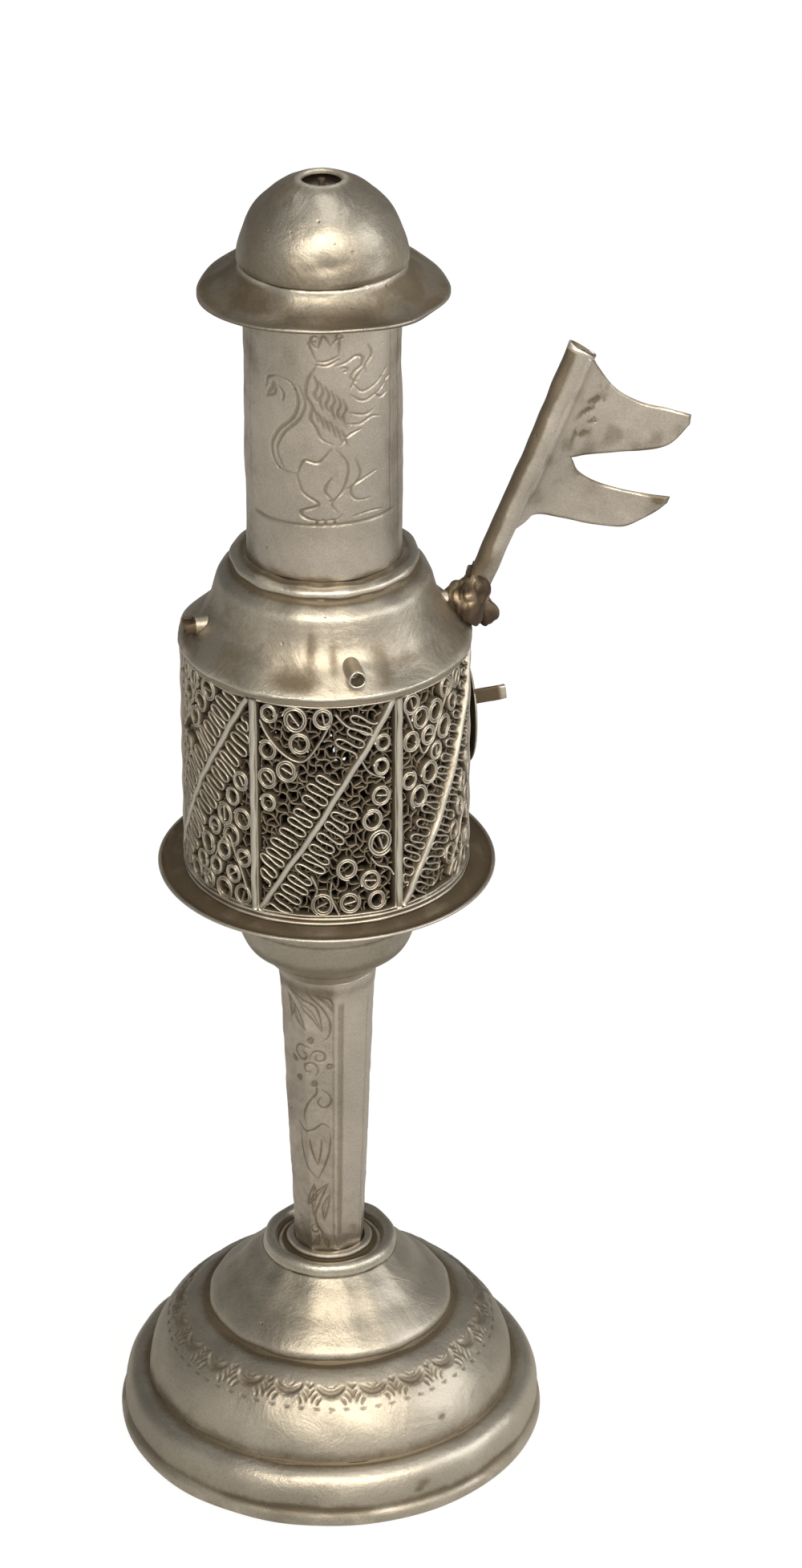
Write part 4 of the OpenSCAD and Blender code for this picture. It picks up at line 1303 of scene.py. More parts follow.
    def strap(self, line: Points, azimuth: float, width: float, rng: np.random.Generator) -> Surface:
        """A flat strap that wavers a little to each side: two sines along it, held at its ends.

        Args:
            line: Its centre line on the flat panel.
            azimuth: Where the panel's middle is, in degrees.
            width: Its width.
            rng: Draws the wavering.

        Returns:
            The closed strap.
        """
        length = arc_length(line)
        waver = 0.10 * np.sin(length * 0.33 + rng.uniform(0, 6))
        waver = waver + 0.06 * np.sin(length * 0.9 + rng.uniform(0, 6))
        held = ramp(length, 0, 3) * ramp(length, length[-1], length[-1] - 3)
        line = line + (waver * held)[:, None] * across(line)
        made = self.ribbon_surface(line, azimuth, width, self.outer - self.strap_depth,
                                   self.outer + self.strap_proud, rng)
        made.masks["tarnish"] = made.masks["tarnish"] * 0.8
        return made

    def build_strap(self, number: int, azimuth: float, rng: np.random.Generator) -> None:
        """The strap along a panel's diagonal, cut where the door's frame stands.

        Args:
            number: Of the panel, from 1 at the front.
            azimuth: Where the panel's middle is, in degrees.
            rng: Draws the wavering.
        """
        w, h = self.half_width - 0.3, self.half_height - 0.1
        line = resample(np.array([[-w, -h], [w, h]]), 0.5)
        parts = [self.strap(part, azimuth, self.strap_width, rng)
                 for part in self.cut_for_door([line], number)]
        add_piece(f"diagonal_{number}", Surface.joined(parts), Finish.WORN, f"diagonal_strap_{number}")

    def build_posts(self) -> None:
        """The upright straps between the panels."""
        for number in range(1, self.sides + 1):
            rng = np.random.default_rng(700 + number)
            line = resample(np.array([[0, -self.half_height], [0, self.half_height]]), 0.5)
            post = self.strap(line, 360 / self.sides * (number - 0.5), self.post_width, rng)
            add_piece(f"upright_{number}", post, Finish.WORN, f"post_{number}")


# ---- door ----


@dataclass
class Door:
    """Round door in the openwork: a plate that bulges, its frame, and a bent tab to pull it by."""

    azimuth: float = 120
    height: float = 132.65
    radius: float = 11
    inside: float = 23.45
    sheet: float = 0.45
    crown: float = 0.8
    frame_hole: float = 9.3
    frame_width: float = 0.8
    wall_in: float = 22.2
    wall_out: float = 23.2
    tab_azimuth: float = 97.5
    tab_start: float = 24.35
    tab_length: float = 5.0
    tab_rise: float = 4.7
    tab_half_width: float = 1.28
    tab_half_sheet: float = 0.33

    def place(self, sideways: Array, up: Array, radius: Array) -> Points:
        """Points on the round wall at the door: a distance sideways from the door's middle is the
        chord, so the azimuth is its arcsine over the radius."""
        turn = np.arcsin(np.clip(sideways / radius, -1, 1))
        return on_axis(radius, math.radians(self.azimuth) + turn, self.height + up)

    def build(self) -> None:
        """Makes the plate, frame and tab, and dresses the hinge."""
        self.build_plate()
        self.build_frame()
        self.build_tab()
        dress(Finish.DARK, "post_knuckles", "hinge_pin", "door_knuckle")

    def build_plate(self) -> None:
        """A square grid drawn out to a disc: x times the root of one less half y squared, and the
        same for y. Its radius from the axis is the plate's seat plus the crown, which falls with
        the square of the height. A second grid behind it closes the rim."""
        n = 90
        a = np.linspace(-1, 1, n)
        x, y = np.meshgrid(a, a)
        u, v = x * np.sqrt(1 - y * y / 2), y * np.sqrt(1 - x * x / 2)
        share = np.hypot(u, v)
        dent = Ripple(0.07, 8, 10, 61)(u * 0.6, v * self.radius)
        bow = self.crown * (1 - v * v)
        line = 0.10 * hump(share, 0.88, 0.022) + 0.06 * hump(share, 0.82, 0.018)
        edge = 0.12 * ramp(share, 0.965, 1.0)
        front = self.inside + self.sheet + bow + dent * (1 - share**2) - line - edge
        back = self.inside + bow + 0.05 * ramp(share, 0.965, 1.0)
        points = np.concatenate([self.place(u * self.radius, v * self.radius, front).reshape(-1, 3),
                                 self.place(u * self.radius, v * self.radius, back).reshape(-1, 3)])
        stain = np.clip(0.35 + 0.4 * Ripple(1, 9, 12, 62)(u * 0.6, v * 11), 0, 1)
        # back face painted dark: tarnish and painted shade on the inner face that the open door shows
        masks = {"tarnish": np.concatenate([(0.5 * stain + 3 * line).ravel(), np.full(n * n, 0.9)]),
                 "wear": np.concatenate([(ramp(share, 0.95, 0.99) * 0.8).ravel(), np.zeros(n * n)]),
                 "groove": np.concatenate([(line * 6).ravel(), np.zeros(n * n)])}
        plate = Surface(points, two_sides(n, n), masks).outwards()
        add_piece("door_disc", plate, Finish.SHEET, "door_plate", body=DOOR_BODY)

    def build_frame(self) -> None:
        """A ring of flat wire round the opening, let into the wall."""
        t = np.linspace(0, 2 * math.pi, 240, endpoint=False)
        width = np.array([0, 0.12, self.frame_width - 0.12, self.frame_width, self.frame_width, 0])
        radius = np.array([self.wall_out - 0.1, self.wall_out, self.wall_out, self.wall_out - 0.1,
                           self.wall_in, self.wall_in])
        reach = self.frame_hole + width[None]
        points = self.place(np.sin(t)[:, None] * reach, np.cos(t)[:, None] * reach, radius[None])
        n = len(width)
        wear = np.broadcast_to(np.array([0.4, 1, 1, 0.4, 0, 0]), (240, n)).ravel()
        ring = Surface(points.reshape(-1, 3), [grid_faces(240, n, True, True)],
                       {"wear": wear, "tarnish": 0.8 - 0.8 * wear}).outwards()
        add_piece("door_ring", ring, Finish.FILIGREE, "door_frame")

    def build_tab(self) -> None:
        """A strip of sheet that stands straight out from the plate and is folded over at its end, which
        carries a painted highlight.
        """
        out, side = compass(self.tab_azimuth)
        length = self.tab_length
        s = np.array([(0, 0), (1.6, 0.03), (3.2, -0.02), (length - 0.75, 0.0), (length - 0.3, 0.06),
                      (length, 0.12)])
        line = resample(smooth(s, 8), 0.12)
        path = (self.tab_start + line[:, :1]) * out + line[:, 1:] * side
        path[:, 2] += self.height + self.tab_rise + 0.12 * line[:, 0]
        along = arc_length(line)
        end = ramp(along, length - 1.3, length - 0.5)
        section = rounded(28, 5)
        strip = tube(path, np.repeat([[0.0, 0.0, 1.0]], len(path), 0), self.tab_half_width * (1 - 0.05 * end),
                     self.tab_half_sheet + 0.14 * end, section)
        # painted highlight on the folded end; the rest of the strip is painted dark, tarnish and painted
        # shade
        far = np.concatenate([np.repeat(end, len(section)), [0, 1]])
        strip.masks["wear"] = 0.9 * far
        strip.masks["tarnish"] = 1.4 * (1 - far)
        add_piece("door_tab", strip, Finish.DARK, "door_pull", body=DOOR_BODY)


# ---- roof ----


@dataclass
class Roof:
    """Bell roof over the chamber, with the four small sockets that stood at its rim."""

    rim_z: float = 150.7
    rim_radius: float = 23.6
    seat_z: float = 166.1
    tower_radius: float = 12.4
    sheet: float = 0.5
    first_socket: float = 12
    socket_end: float = 24.4
    socket_z: float = 154.65
    socket_radius: float = 1.24
    socket_wall: float = 0.2
    missing: float = 100
    tear: float = 0.6

    def build(self) -> None:
        """Makes the roof and its sockets, and dresses the ring under it."""
        self.build_bell()
        for number, name in enumerate(("front", "right", "back", "left")):
            self.build_socket(name, self.first_socket + 90 * number, broken=name == "left")
        dress(Finish.FILIGREE, "chamber_top_ring")
        dress(Finish.SHEET, "socket_solder")

    def build_bell(self) -> None:
        """The sheet rises from a thin rim over a broad slope and two soft rings to the tower."""
        z, r, top, t = self.rim_z, self.rim_radius, self.seat_z, self.tower_radius
        slope = smooth([(r, z + 0.45), (r - 1, z + 1.4), (r - 2.4, z + 2.7), (r - 3.8, z + 4.1),
                        (t + 6.2, z + 5.9), (t + 5.5, z + 7.7), (t + 5.1, top - 6.1), (t + 4.6, top - 4.4),
                        (t + 3.6, top - 3.3), (t + 2.6, top - 2.6), (t + 2.3, top - 1.9),
                        (t + 2.65, top - 1.35), (t + 2.45, top - 0.65), (t + 1.7, top - 0.25),
                        (t + 0.9, top - 0.3), (t + 0.4, top - 0.05)], 8)
        outer = resample(np.vstack([[[r - 0.05, z]], slope, [[t - 1.2, top]]]), 0.22)
        bruise = Ripple(0.085, 9, 20, 71)
        cloud = Ripple(1.0, 7, 20, 72)
        chips = Ripple(1.0, 3.2, 23, 73)

        def relief(azimuth: Array, along: Array, profile: Points) -> Shaped:
            """Bruises, a soft crease at the front, brown runs from the seat and bright solder round
            the front socket."""
            z_at = profile[:, 1:]
            low = ramp(z_at, z + 6.5, z + 2)
            crease = around(azimuth, -9, 1.3) * hump(z_at - z, 7, 2.6)
            run = sum(around(azimuth, a, w) * hump(z_at - z, h, 3.0)
                      for a, w, h in ((-7, 2.2, 7), (4, 1.5, 5), (26, 2.5, 3.5)))
            solder = around(azimuth, 15, 7) * hump(z_at - z, 4.0, 2.2)
            rim = ramp(z_at, z + 0.75, z + 0.25)
            grime = hump(z_at - top, -0.1, 0.7) * ramp(profile[:, :1], t + 1.4, t + 0.5)
            patch = around(azimuth, -35, 9) * hump(z_at, top, 1.0)
            dirt = (0.55 * run + 0.25 * solder + low * np.clip(0.18 + 0.22 * cloud(azimuth, along), 0, 1)
                    + grime * np.clip(0.7 + 0.4 * cloud(azimuth, along), 0, 1) + patch)
            lumps = 0.08 * solder * chips(azimuth, along)
            return (bruise(azimuth, along) - 0.10 * crease + lumps + 0.03 * rim * chips(azimuth, 0 * along),
                    {"tarnish": dirt * (1 - rim), "wear": 0.55 * rim + 0.75 * solder})

        add_piece("roof_bell", sheet_shell(outer, self.sheet, azimuths(0.7, 1.4), 7, relief=relief),
                  Finish.SHEET, "roof")

    def build_socket(self, name: str, azimuth: float, broken: bool) -> None:
        """A short tube lying on the slope: a flat section carried round its mouth. The broken one
        is a shorter, open trough.

        Args:
            name: Which socket it is.
            azimuth: Where it stands, in degrees.
            broken: Whether part of its wall is gone.
        """
        out, side = compass(azimuth)
        up = np.array([0, 0, 1.0])
        gap, tear = (math.radians(self.missing), self.tear) if broken else (0.0, 0.0)
        half_length, set_back = (1.1, 2.6) if broken else (1.75, 1.9)
        a = np.linspace(gap + tear, 2 * math.pi + tear, 60, endpoint=broken)
        middle = self.socket_z * up + out * (self.socket_end - set_back)
        ring = middle + self.socket_radius * (np.cos(a)[:, None] * side + np.sin(a)[:, None] * up)
        path = ring + out * (0.12 * np.sin(3 * a + azimuth))[:, None]
        wall = tube(path, np.repeat(out[None], len(a), 0), half_length, self.socket_wall, rounded(20, 4),
                    closed=not broken)
        away = (wall.points - middle) @ out
        wall.masks["wear"] = ramp(away, 1.2, 1.65) * (0.1 if broken else 1.0)
        wall.masks["tarnish"] = np.clip((1 - ramp(away, 1.1, 1.6)) * 0.6 + 0.9 * broken, 0, 1)
        add_piece(f"socket_tube_{name}", wall, Finish.DARK if broken else Finish.WORN, f"socket_{name}")


# ---- pennant ----


@dataclass
class Pennant:
    """Swallow-tailed pennant whose own sheet is rolled into its mast, in a lump of old solder.

    It is drawn upright, as distance out from the mast's axis and height up the mast, and then
    leans outwards about the mast's foot.
    """

    azimuth: float = 102
    foot: tuple[float, float] = (24.45, 155.05)
    lean: float = 22.8
    mast_radius: float = 2.1
    length: float = 44.8
    reach: float = 24.2
    half_sheet: float = 0.25
    mast_skin: float = 0.05
    mast_hollow: float = 0.42

    def placed(self, points: Points) -> Points:
        """Carries points from the drawing (x out, y to the back, z up the mast) to the roof."""
        c, s = math.cos(math.radians(self.lean)), math.sin(math.radians(self.lean))
        out, up = points[:, 0] * c + points[:, 2] * s, -points[:, 0] * s + points[:, 2] * c
        radial, tangent = compass(self.azimuth)
        flat = (self.foot[0] + out)[:, None] * radial[:2] + points[:, 1:2] * tangent[:2]
        return np.column_stack([flat, self.foot[1] + up])

    def build(self) -> None:
        """Makes the sheet, the mast and the solder."""
        self.build_sheet()
        self.build_mast()
        self.build_solder()

    def bulge(self, x: Array, y: Array) -> tuple[Array, Array]:
        """The sheet's own shape: hammered hollows, a slow curl at the tails, and a swell that runs
        into the mast.

        Args:
            x: Distance out from the mast's axis.
            y: Height up the mast.

        Returns:
            How far the sheet's middle stands to the back, and half its thickness.
        """
        curl = 0.5 * np.sin(x * 0.16) - 0.014 * np.clip(x - 9, 0, 30) ** 1.6
        dents = 0.10 * np.sin(x * 0.9 + y * 0.35) * np.sin(y * 0.7 - x * 0.3 + 1)
        near = np.exp(-np.clip(x - 1.7, 0, 40) / 1.25)
        half = self.half_sheet + 1.35 * near * ramp(y, 12, 22)
        return np.clip(curl + dents, -1.3, 0.9) * ramp(x, 1, 6), half

    def build_sheet(self) -> None:
        """Two tails that share the root line to the notch. Each is ruled between its lower and
        upper edge: the share s runs from the mast to the tip, t from the lower edge to the upper.
        A front and a back copy stand half a thickness apart, thinner at the edges."""
        m, w = self.length, self.reach
        top = smooth([(0.5, m - 0.3), (2.2, m - 0.9), (4.0, m - 2.3), (w * 0.34, m - 4.9),
                      (w * 0.53, m - 5.8), (w * 0.72, m - 5.4), (w * 0.885, m - 5.0)], 12)
        top_low = smooth([(0.5, m - 18.4), (w * 0.2, m - 18.35), (w * 0.27, m - 17.8), (w * 0.33, m - 17.1),
                          (w * 0.5, m - 15.3), (w * 0.68, m - 13.4), (w * 0.83, m - 11.0),
                          (w * 0.905, m - 6.6)], 12)
        low_top = smooth([(0.5, m - 17.4), (w * 0.2, m - 17.45), (w * 0.26, m - 18.3), (w * 0.34, m - 20.0),
                          (w * 0.49, m - 20.8), (w * 0.64, m - 20.7), (w * 0.81, m - 20.1),
                          (w * 0.985, m - 19.15)], 12)
        low = smooth([(0.5, m - 34.5), (w * 0.125, m - 30.8), (w * 0.17, m - 29.0), (w * 0.34, m - 28.4),
                      (w * 0.53, m - 28.0), (w * 0.7, m - 27.2), (w * 0.81, m - 25.9), (w * 0.93, m - 22.5),
                      (w * 0.985, m - 20.3)], 12)
        parts = [self.tail(low, low_top, 81), self.tail(top_low, top, 82)]
        add_piece("pennant_sheet", Surface.joined(parts), Finish.TUBE, "flag")

    def tail(self, lower: Points, upper: Points, seed: int) -> Surface:
        """One tail, as a closed surface between two edges.

        Args:
            lower: Its lower edge, from the mast to the tip.
            upper: Its upper edge, likewise.
            seed: Draws the pocks and stains.

        Returns:
            The closed tail, in its place on the roof.
        """
        rows, columns = 90, 54
        s = np.linspace(0, 1, rows)
        t = (1 - np.cos(np.linspace(0, math.pi, columns))) / 2
        edges = []
        for line in (lower, upper):
            length = arc_length(line) / arc_length(line)[-1]
            edges.append(np.stack([np.interp(s, length, line[:, k]) for k in (0, 1)], 1))
        flat = edges[0][:, None] * (1 - t)[None, :, None] + edges[1][:, None] * t[None, :, None]
        x, y = flat[..., 0], flat[..., 1]
        middle, half = self.bulge(x, y)
        pock = Ripple(1, 1.6, 6, seed)(x / 6, y * 0.7)
        rim = np.minimum(np.minimum(t, 1 - t)[None] * np.linalg.norm(edges[1] - edges[0], axis=1)[:, None],
                         (1 - s)[:, None] * 20)
        half = half * (0.35 + 0.65 * ramp(rim, 0, 0.45))
        cluster = np.exp(-(((x - 5.6 - 0.12 * (y - 34)) / 1.5) ** 2 + ((y - 34.5) / 4.6) ** 2))
        hollow = cluster * np.clip(1.6 * pock - 0.3, 0, 1.5)
        front = np.stack([x, middle - half + 0.22 * hollow, y], -1).reshape(-1, 3)
        back = np.stack([x, middle + half, y], -1).reshape(-1, 3)
        stain = Ripple(1, 5, 6, seed + 5)(x / 6, y)
        # painted shade: the sheet's thin edges are darkened
        edge = 1 - ramp(rim, 0.1, 0.5)
        tarnish = np.clip(0.18 * stain + 0.1, 0, 0.5) + 0.9 * np.clip(hollow, 0, 1)
        notch = np.exp(-np.hypot(x - self.reach * 0.27, y - self.length + 17.9) / 1.6)
        tip = np.exp(-(np.hypot(x - 22.3, (y - self.length + 20.4) * 1.6) / 1.0) ** 2)
        crack = np.exp(-(np.hypot(x - 8.2, y - self.length + 19.6) / 0.7) ** 2)
        tarnish = np.clip(tarnish + 0.4 * notch + 0.9 * tip + crack, 0, 1) + 0.55 * edge
        masks = {"tarnish": np.tile(tarnish.ravel(), 2)}
        return Surface(self.placed(np.vstack([front, back])), two_sides(rows, columns), masks).outwards()

    def build_mast(self) -> None:
        """The rolled mast: an outer and an inner tube joined at the ends. It is round below and
        pressed flatter towards its mouth, which is cut aslant. Its seam stays open low down."""
        rows, columns = 120, 72
        y = np.linspace(-0.3, self.length, rows)[:, None]
        a = (np.arange(columns) * 2 * math.pi / columns)[None]
        press = ramp(y, 18, self.length)
        dent = 0.05 * Ripple(1, 5, 2.1, 91)(a, y)
        full = 2 * math.pi
        seam_gap = (a - math.radians(20) + math.pi) % full - math.pi
        seam = hump(seam_gap, 0, 0.22) * ramp(y, 14, 10)

        def wall(radius: float) -> Array:
            """One wall of the tube, wide by the press and shallow by as much."""
            bore = radius + dent - 0.35 * seam
            slant = np.where(y > self.length - 0.01, -0.55 * np.cos(a), 0)
            wide, deep = 1 + 0.08 * press + 0.16 * press**4, 1 - 0.16 * press
            return np.stack([bore * np.cos(a) * wide, -bore * np.sin(a) * deep, y + slant + 0 * a], -1)

        outer = wall(self.mast_radius - self.mast_skin)
        inner = wall(self.mast_radius - self.mast_hollow)[::-6]
        points = np.concatenate([outer, inner]).reshape(-1, 3)
        # painted highlight: a bright stripe down the mast (lit); painted shade on its far side (shade)
        lit_gap = (a - math.radians(52) + math.pi) % full - math.pi
        lit = hump(lit_gap, 0, 0.2) * ramp(y, 8, 18)
        cloud = np.clip(0.12 + 0.25 * Ripple(1, 7, 2.1, 92)(a, y), 0, 1)
        mouth = ramp(y, self.length - 0.7, self.length - 0.2)
        grime = ramp(y, 9, 2) * 0.6
        shade = ramp(a, math.radians(105), math.radians(135)) * ramp(a, math.radians(290), math.radians(240))
        tarnish = np.clip(cloud + 1.2 * seam + grime + shade, 0, 1.2) * (1 - 0.6 * mouth) * (1 - 0.8 * lit)
        # the lip mask is the painted highlight stripe plus the rubbed mouth
        lip = np.clip(lit + 0.8 * mouth, 0, 1) + 0 * a
        masks = {name: np.concatenate([value, np.full((len(inner), columns), hidden)]).ravel()
                 for name, value, hidden in (("tarnish", tarnish + 0 * a, 0.95), ("wear", lip, 0.0),
                                             ("groove", 0.9 * seam + 0 * a, 0.0))}
        faces = grid_faces(rows + len(inner), columns, True, True)
        add_piece("pennant_mast", Surface(self.placed(points), [faces], masks).outwards(), Finish.TUBE)

    def build_solder(self) -> None:
        """One lump of old solder. From a middle point each ray runs to the furthest of several
        balls that it leaves, softened by a power mean, and noise raises and sinks the skin."""
        a = self.azimuth
        middle = on_axis(np.array(24.1), np.array(math.radians(a)), np.array(155.0))
        balls = ((a, 22.4, 154.4, 2.9), (a + 1, 24.8, 152.9, 2.6), (a - 3, 24.2, 156.2, 2.7),
                 (a + 2, 25.7, 158.0, 2.3), (a - 7, 23.2, 153.4, 2.1), (a - 3, 26.4, 152.3, 1.7))
        turn = np.arange(110) * 2 * math.pi / 110
        up = np.linspace(-1, 1, 70)[:, None] * math.radians(88.5)
        ray = np.stack([np.cos(up) * np.cos(turn), np.cos(up) * np.sin(turn), np.sin(up) + 0 * turn], -1)
        total = np.zeros(ray.shape[:2])
        for azimuth, radius, z, size in balls:
            offset = on_axis(np.array(radius), np.array(math.radians(azimuth)), np.array(z)) - middle
            forward = ray @ offset
            inside = size**2 - offset @ offset + forward**2
            leaves = np.where(inside > 0, forward + np.sqrt(np.maximum(inside, 0)), 0.3)
            total += np.maximum(leaves, 0.3) ** 9
        rough = 1 + 0.05 * Ripple(1, 3.0, 3, 201)(turn, up * 3) + 0.035 * Ripple(1, 1.2, 3, 202)(turn, up * 3)
        skin = middle + ray * (total ** (1 / 9) * rough)[..., None]
        points = np.vstack([skin.reshape(-1, 3), skin[0].mean(0), skin[-1].mean(0)])
        n, rows = len(turn), len(up)
        ring = np.arange(n)
        following = (ring + 1) % n
        caps = [np.stack([following, ring, np.full(n, rows * n)], 1),
                np.stack([(rows - 1) * n + ring, (rows - 1) * n + following, np.full(n, rows * n + 1)], 1)]
        light = np.clip(0.3 + 0.6 * Ripple(1, 2.8, 3, 203)(turn, up * 3), 0, 1)
        masks = {"tarnish": np.append(1 - light, [0.5, 0.5]), "wear": np.append(0.7 * light**2, [0, 0])}
        lump = Surface(points, [grid_faces(rows, n, False, True)] + caps, masks).outwards()
        add_piece("pennant_solder", lump, Finish.SOLDER, "flag_solder")


# ---- tower and hat ----


@dataclass
class Tower:
    """Straight tube with an engraved crowned beast at the front, over a plain foot."""

    radius: float = 12.4
    low: float = 166.15
    high: float = 215.45
    sheet: float = 0.5
    cut_width: float = 1.6
    cut_depth: float = 2.1
    beast_width: float = 1.16
    beast_left: float = 0.9
    beast_foot: float = 6.4
    turned_line: float = 9.75
    degree_mm: float = 0.216

    def beast(self) -> Engraving:
        """A heraldic beast that stands on its hind legs, facing right, drawn as distance round the
        tube and height above the tube's foot."""
        cut = Engraving()
        tail = [(-4.6, 12.0), (-7.4, 12.6), (-8.6, 15.6), (-7.4, 18.8), (-5.2, 21.4), (-4.3, 24.4),
                (-5.2, 27.4), (-7.6, 28.2)]
        cut.line(*tail, half_width=0.19).line(*[(x + 0.95, y - 0.1) for x, y in tail[1:-1]])
        cut.line((-7.6, 28.2), (-9.0, 27.4), (-9.2, 25.8)).line((-7.8, 27.2), (-8.3, 26.0), (-7.6, 24.9))
        cut.leaf((-7.8, 27.0), (-9.3, 24.2), 0.3, 0.6).line((-7.2, 26.6), (-6.4, 25.4), (-6.6, 24.0))
        crown = [(-1.9, 31.6), (-2.9, 34.6), (-1.6, 33.4), (-0.9, 35.6), (0.1, 33.8), (1.2, 35.0),
                 (1.2, 32.4)]
        cut.line(*crown[:3], half_width=0.15).line(*crown[2:5], half_width=0.15)
        cut.line(*crown[4:], half_width=0.15)
        cut.line((-1.9, 31.4), (-0.4, 31.3), (1.3, 32.2)).line((-2.0, 30.8), (-0.4, 30.6), (1.4, 31.6))
        cut.scroll((-2.1, 34.9), 0.7, 0, 1).scroll((1.4, 35.3), 0.6, 90, 1)
        cut.line((0.6, 30.4), (2.2, 30.9), (3.6, 31.8), (4.6, 31.3), (4.4, 30.0), (3.4, 29.2), (2.9, 28.0),
                 (3.9, 27.4), half_width=0.19)
        cut.line((1.5, 30.0), (2.3, 29.9), (2.6, 29.4)).line((1.8, 29.4), (2.4, 29.3))
        cut.line((4.7, 29.4), (3.9, 28.4), (2.7, 26.2))
        cut.line((5.4, 33.4), (6.0, 31.6), (5.0, 29.8), (5.2, 28.6))
        cut.line((-1.8, 30.6), (-3.0, 28.2), (-3.2, 25.6), (-2.4, 23.6), (-2.7, 21.6), (-1.9, 20.0),
                 (-1.2, 18.2), (0.4, 17.2), half_width=0.2)
        for i, (x, y) in enumerate(((-2.2, 29.0), (-1.5, 28.0), (-0.7, 27.2), (0.1, 26.4), (0.9, 25.6),
                                    (1.7, 24.8))):
            lower = y - 4.6 - 0.5 * (i % 2)
            cut.line((x, y), (x + 0.55, y - 1.8), (x + 0.1, y - 3.2), (x + 0.6, lower), half_width=0.17)
            cut.line((x - 0.2, y - 5.2), (x + 0.3, y - 6.6), (x + 0.7, y - 8.2), half_width=0.16)
        cut.line((3.2, 27.2), (4.6, 25.6), (6.6, 26.3), (8.0, 27.4))
        cut.line((2.8, 25.4), (4.6, 24.0), (6.6, 24.6), (8.4, 25.8))
        cut.line((8.0, 27.4), (8.8, 28.4)).line((8.4, 26.2), (9.4, 26.8))
        cut.line((6.6, 24.6), (7.6, 23.8), (8.8, 24.2))
        cut.line((2.6, 22.4), (4.8, 21.6), (6.4, 22.2))
        cut.line((2.2, 20.6), (4.2, 20.2), (6.0, 21.0), (7.4, 20.6))
        cut.line((1.4, 17.0), (2.6, 18.6), (4.6, 19.4))
        cut.line((-4.6, 12.0), (-3.6, 14.4), (-1.6, 14.2), (0.2, 16.6))
        cut.line((-4.6, 12.0), (-3.8, 9.0), (-1.6, 7.0), (-4.2, 5.6), (-2.6, 4.3), (0.6, 4.4), (1.6, 5.2),
                 half_width=0.18)
        cut.line((0.8, 16.4), (2.4, 13.4), (1.8, 9.6), (0.2, 7.0), (1.2, 5.4))
        cut.line((0.2, 11.6), (-0.8, 9.4), (0.4, 7.6))
        cut.line((3.4, 14.6), (4.2, 11.6), (2.8, 9.2), (3.6, 7.4), (5.8, 7.2))
        cut.line((2.2, 9.4), (4.6, 10.8), (7.0, 11.6))
        for x in (-2.4, -1.2, 0.1):
            cut.line((x, 4.6), (x + 0.5, 3.9), (x + 0.2, 3.2), half_width=0.14)
        cut.line((3.0, 4.6), (5.6, 4.9), (8.0, 4.5), half_width=0.12)
        return cut.bolder(self.cut_width, self.cut_depth)

    def build(self) -> None:
        """The tube, its engraving, a turned line near its foot, a border line and the seam."""
        outer = resample(np.array([(self.radius, self.low), (self.radius, self.high)]), 0.165)
        bore = self.radius - self.sheet
        inner = resample(np.array([(bore, self.high), (bore, self.low)]), 4)
        wave = Ripple(0.06, 12, 12.4, 101)
        fine = Ripple(0.018, 3.2, 12.4, 102)
        cloud = Ripple(1.0, 9, 12.4, 103)
        cut = self.beast()

        def relief(azimuth: Array, along: Array, profile: Points) -> Shaped:
            """Dents, every cut line, and painted shade on both sides and under the hat's brim."""
            z = profile[:, 1:] - self.low
            degrees = np.degrees(azimuth)
            sideways = azimuth * self.radius / self.beast_width - self.beast_left
            depth, dark = cut.depth_at(sideways + 0 * z, z - self.beast_foot + 0 * azimuth)
            ink, line = np.zeros(depth.shape), np.zeros(depth.shape)
            turned = self.turned_line + 0.12 * np.sin(azimuth * 3 + 0.4)
            for at, width, strength, mask in (
                    (z - turned, 0.3, 2.0, ramp(degrees, -64, -56) * ramp(degrees, 66, 58)),
                    ((degrees - 57) * self.degree_mm, 0.16, 0.9, ramp(z, 9.6, 10.2)),
                    ((degrees + 66) * self.degree_mm, 0.16, 0.4, ramp(z, 9.6, 10.2)),
                    ((degrees - 69) * self.degree_mm, 0.2, 1.2, 1 + 0 * z)):
                cut_here = np.exp(-(at / width) ** 2) * mask
                line = line + 0.09 * strength * cut_here
                ink = ink + 0.75 * min(strength, 1) * cut_here
            # painted shadow of the hat's brim: darker towards the top of the tube
            high = ramp(z, 38, 46) * 0.4
            foot = np.exp(-(z / 0.8) ** 2) * np.clip(0.5 + 0.5 * cloud(azimuth, z), 0, 1)
            # painted shade: darker towards both sides, away from the front
            edge = 0.28 * ramp(np.abs(degrees), 40, 70)
            haze = np.clip(0.10 * cloud(azimuth, along), 0, 0.4)
            return wave(azimuth, along) + fine(azimuth, along) - depth - line, {
                "groove": 0.85 * dark + 1.2 * ink, "tarnish": high + foot + haze + edge}

        shell = Lathe(outer, inner, azimuths(0.78, 6, 84), relief).surface()
        add_piece("tower_tube", shell, Finish.TUBE, "tower")


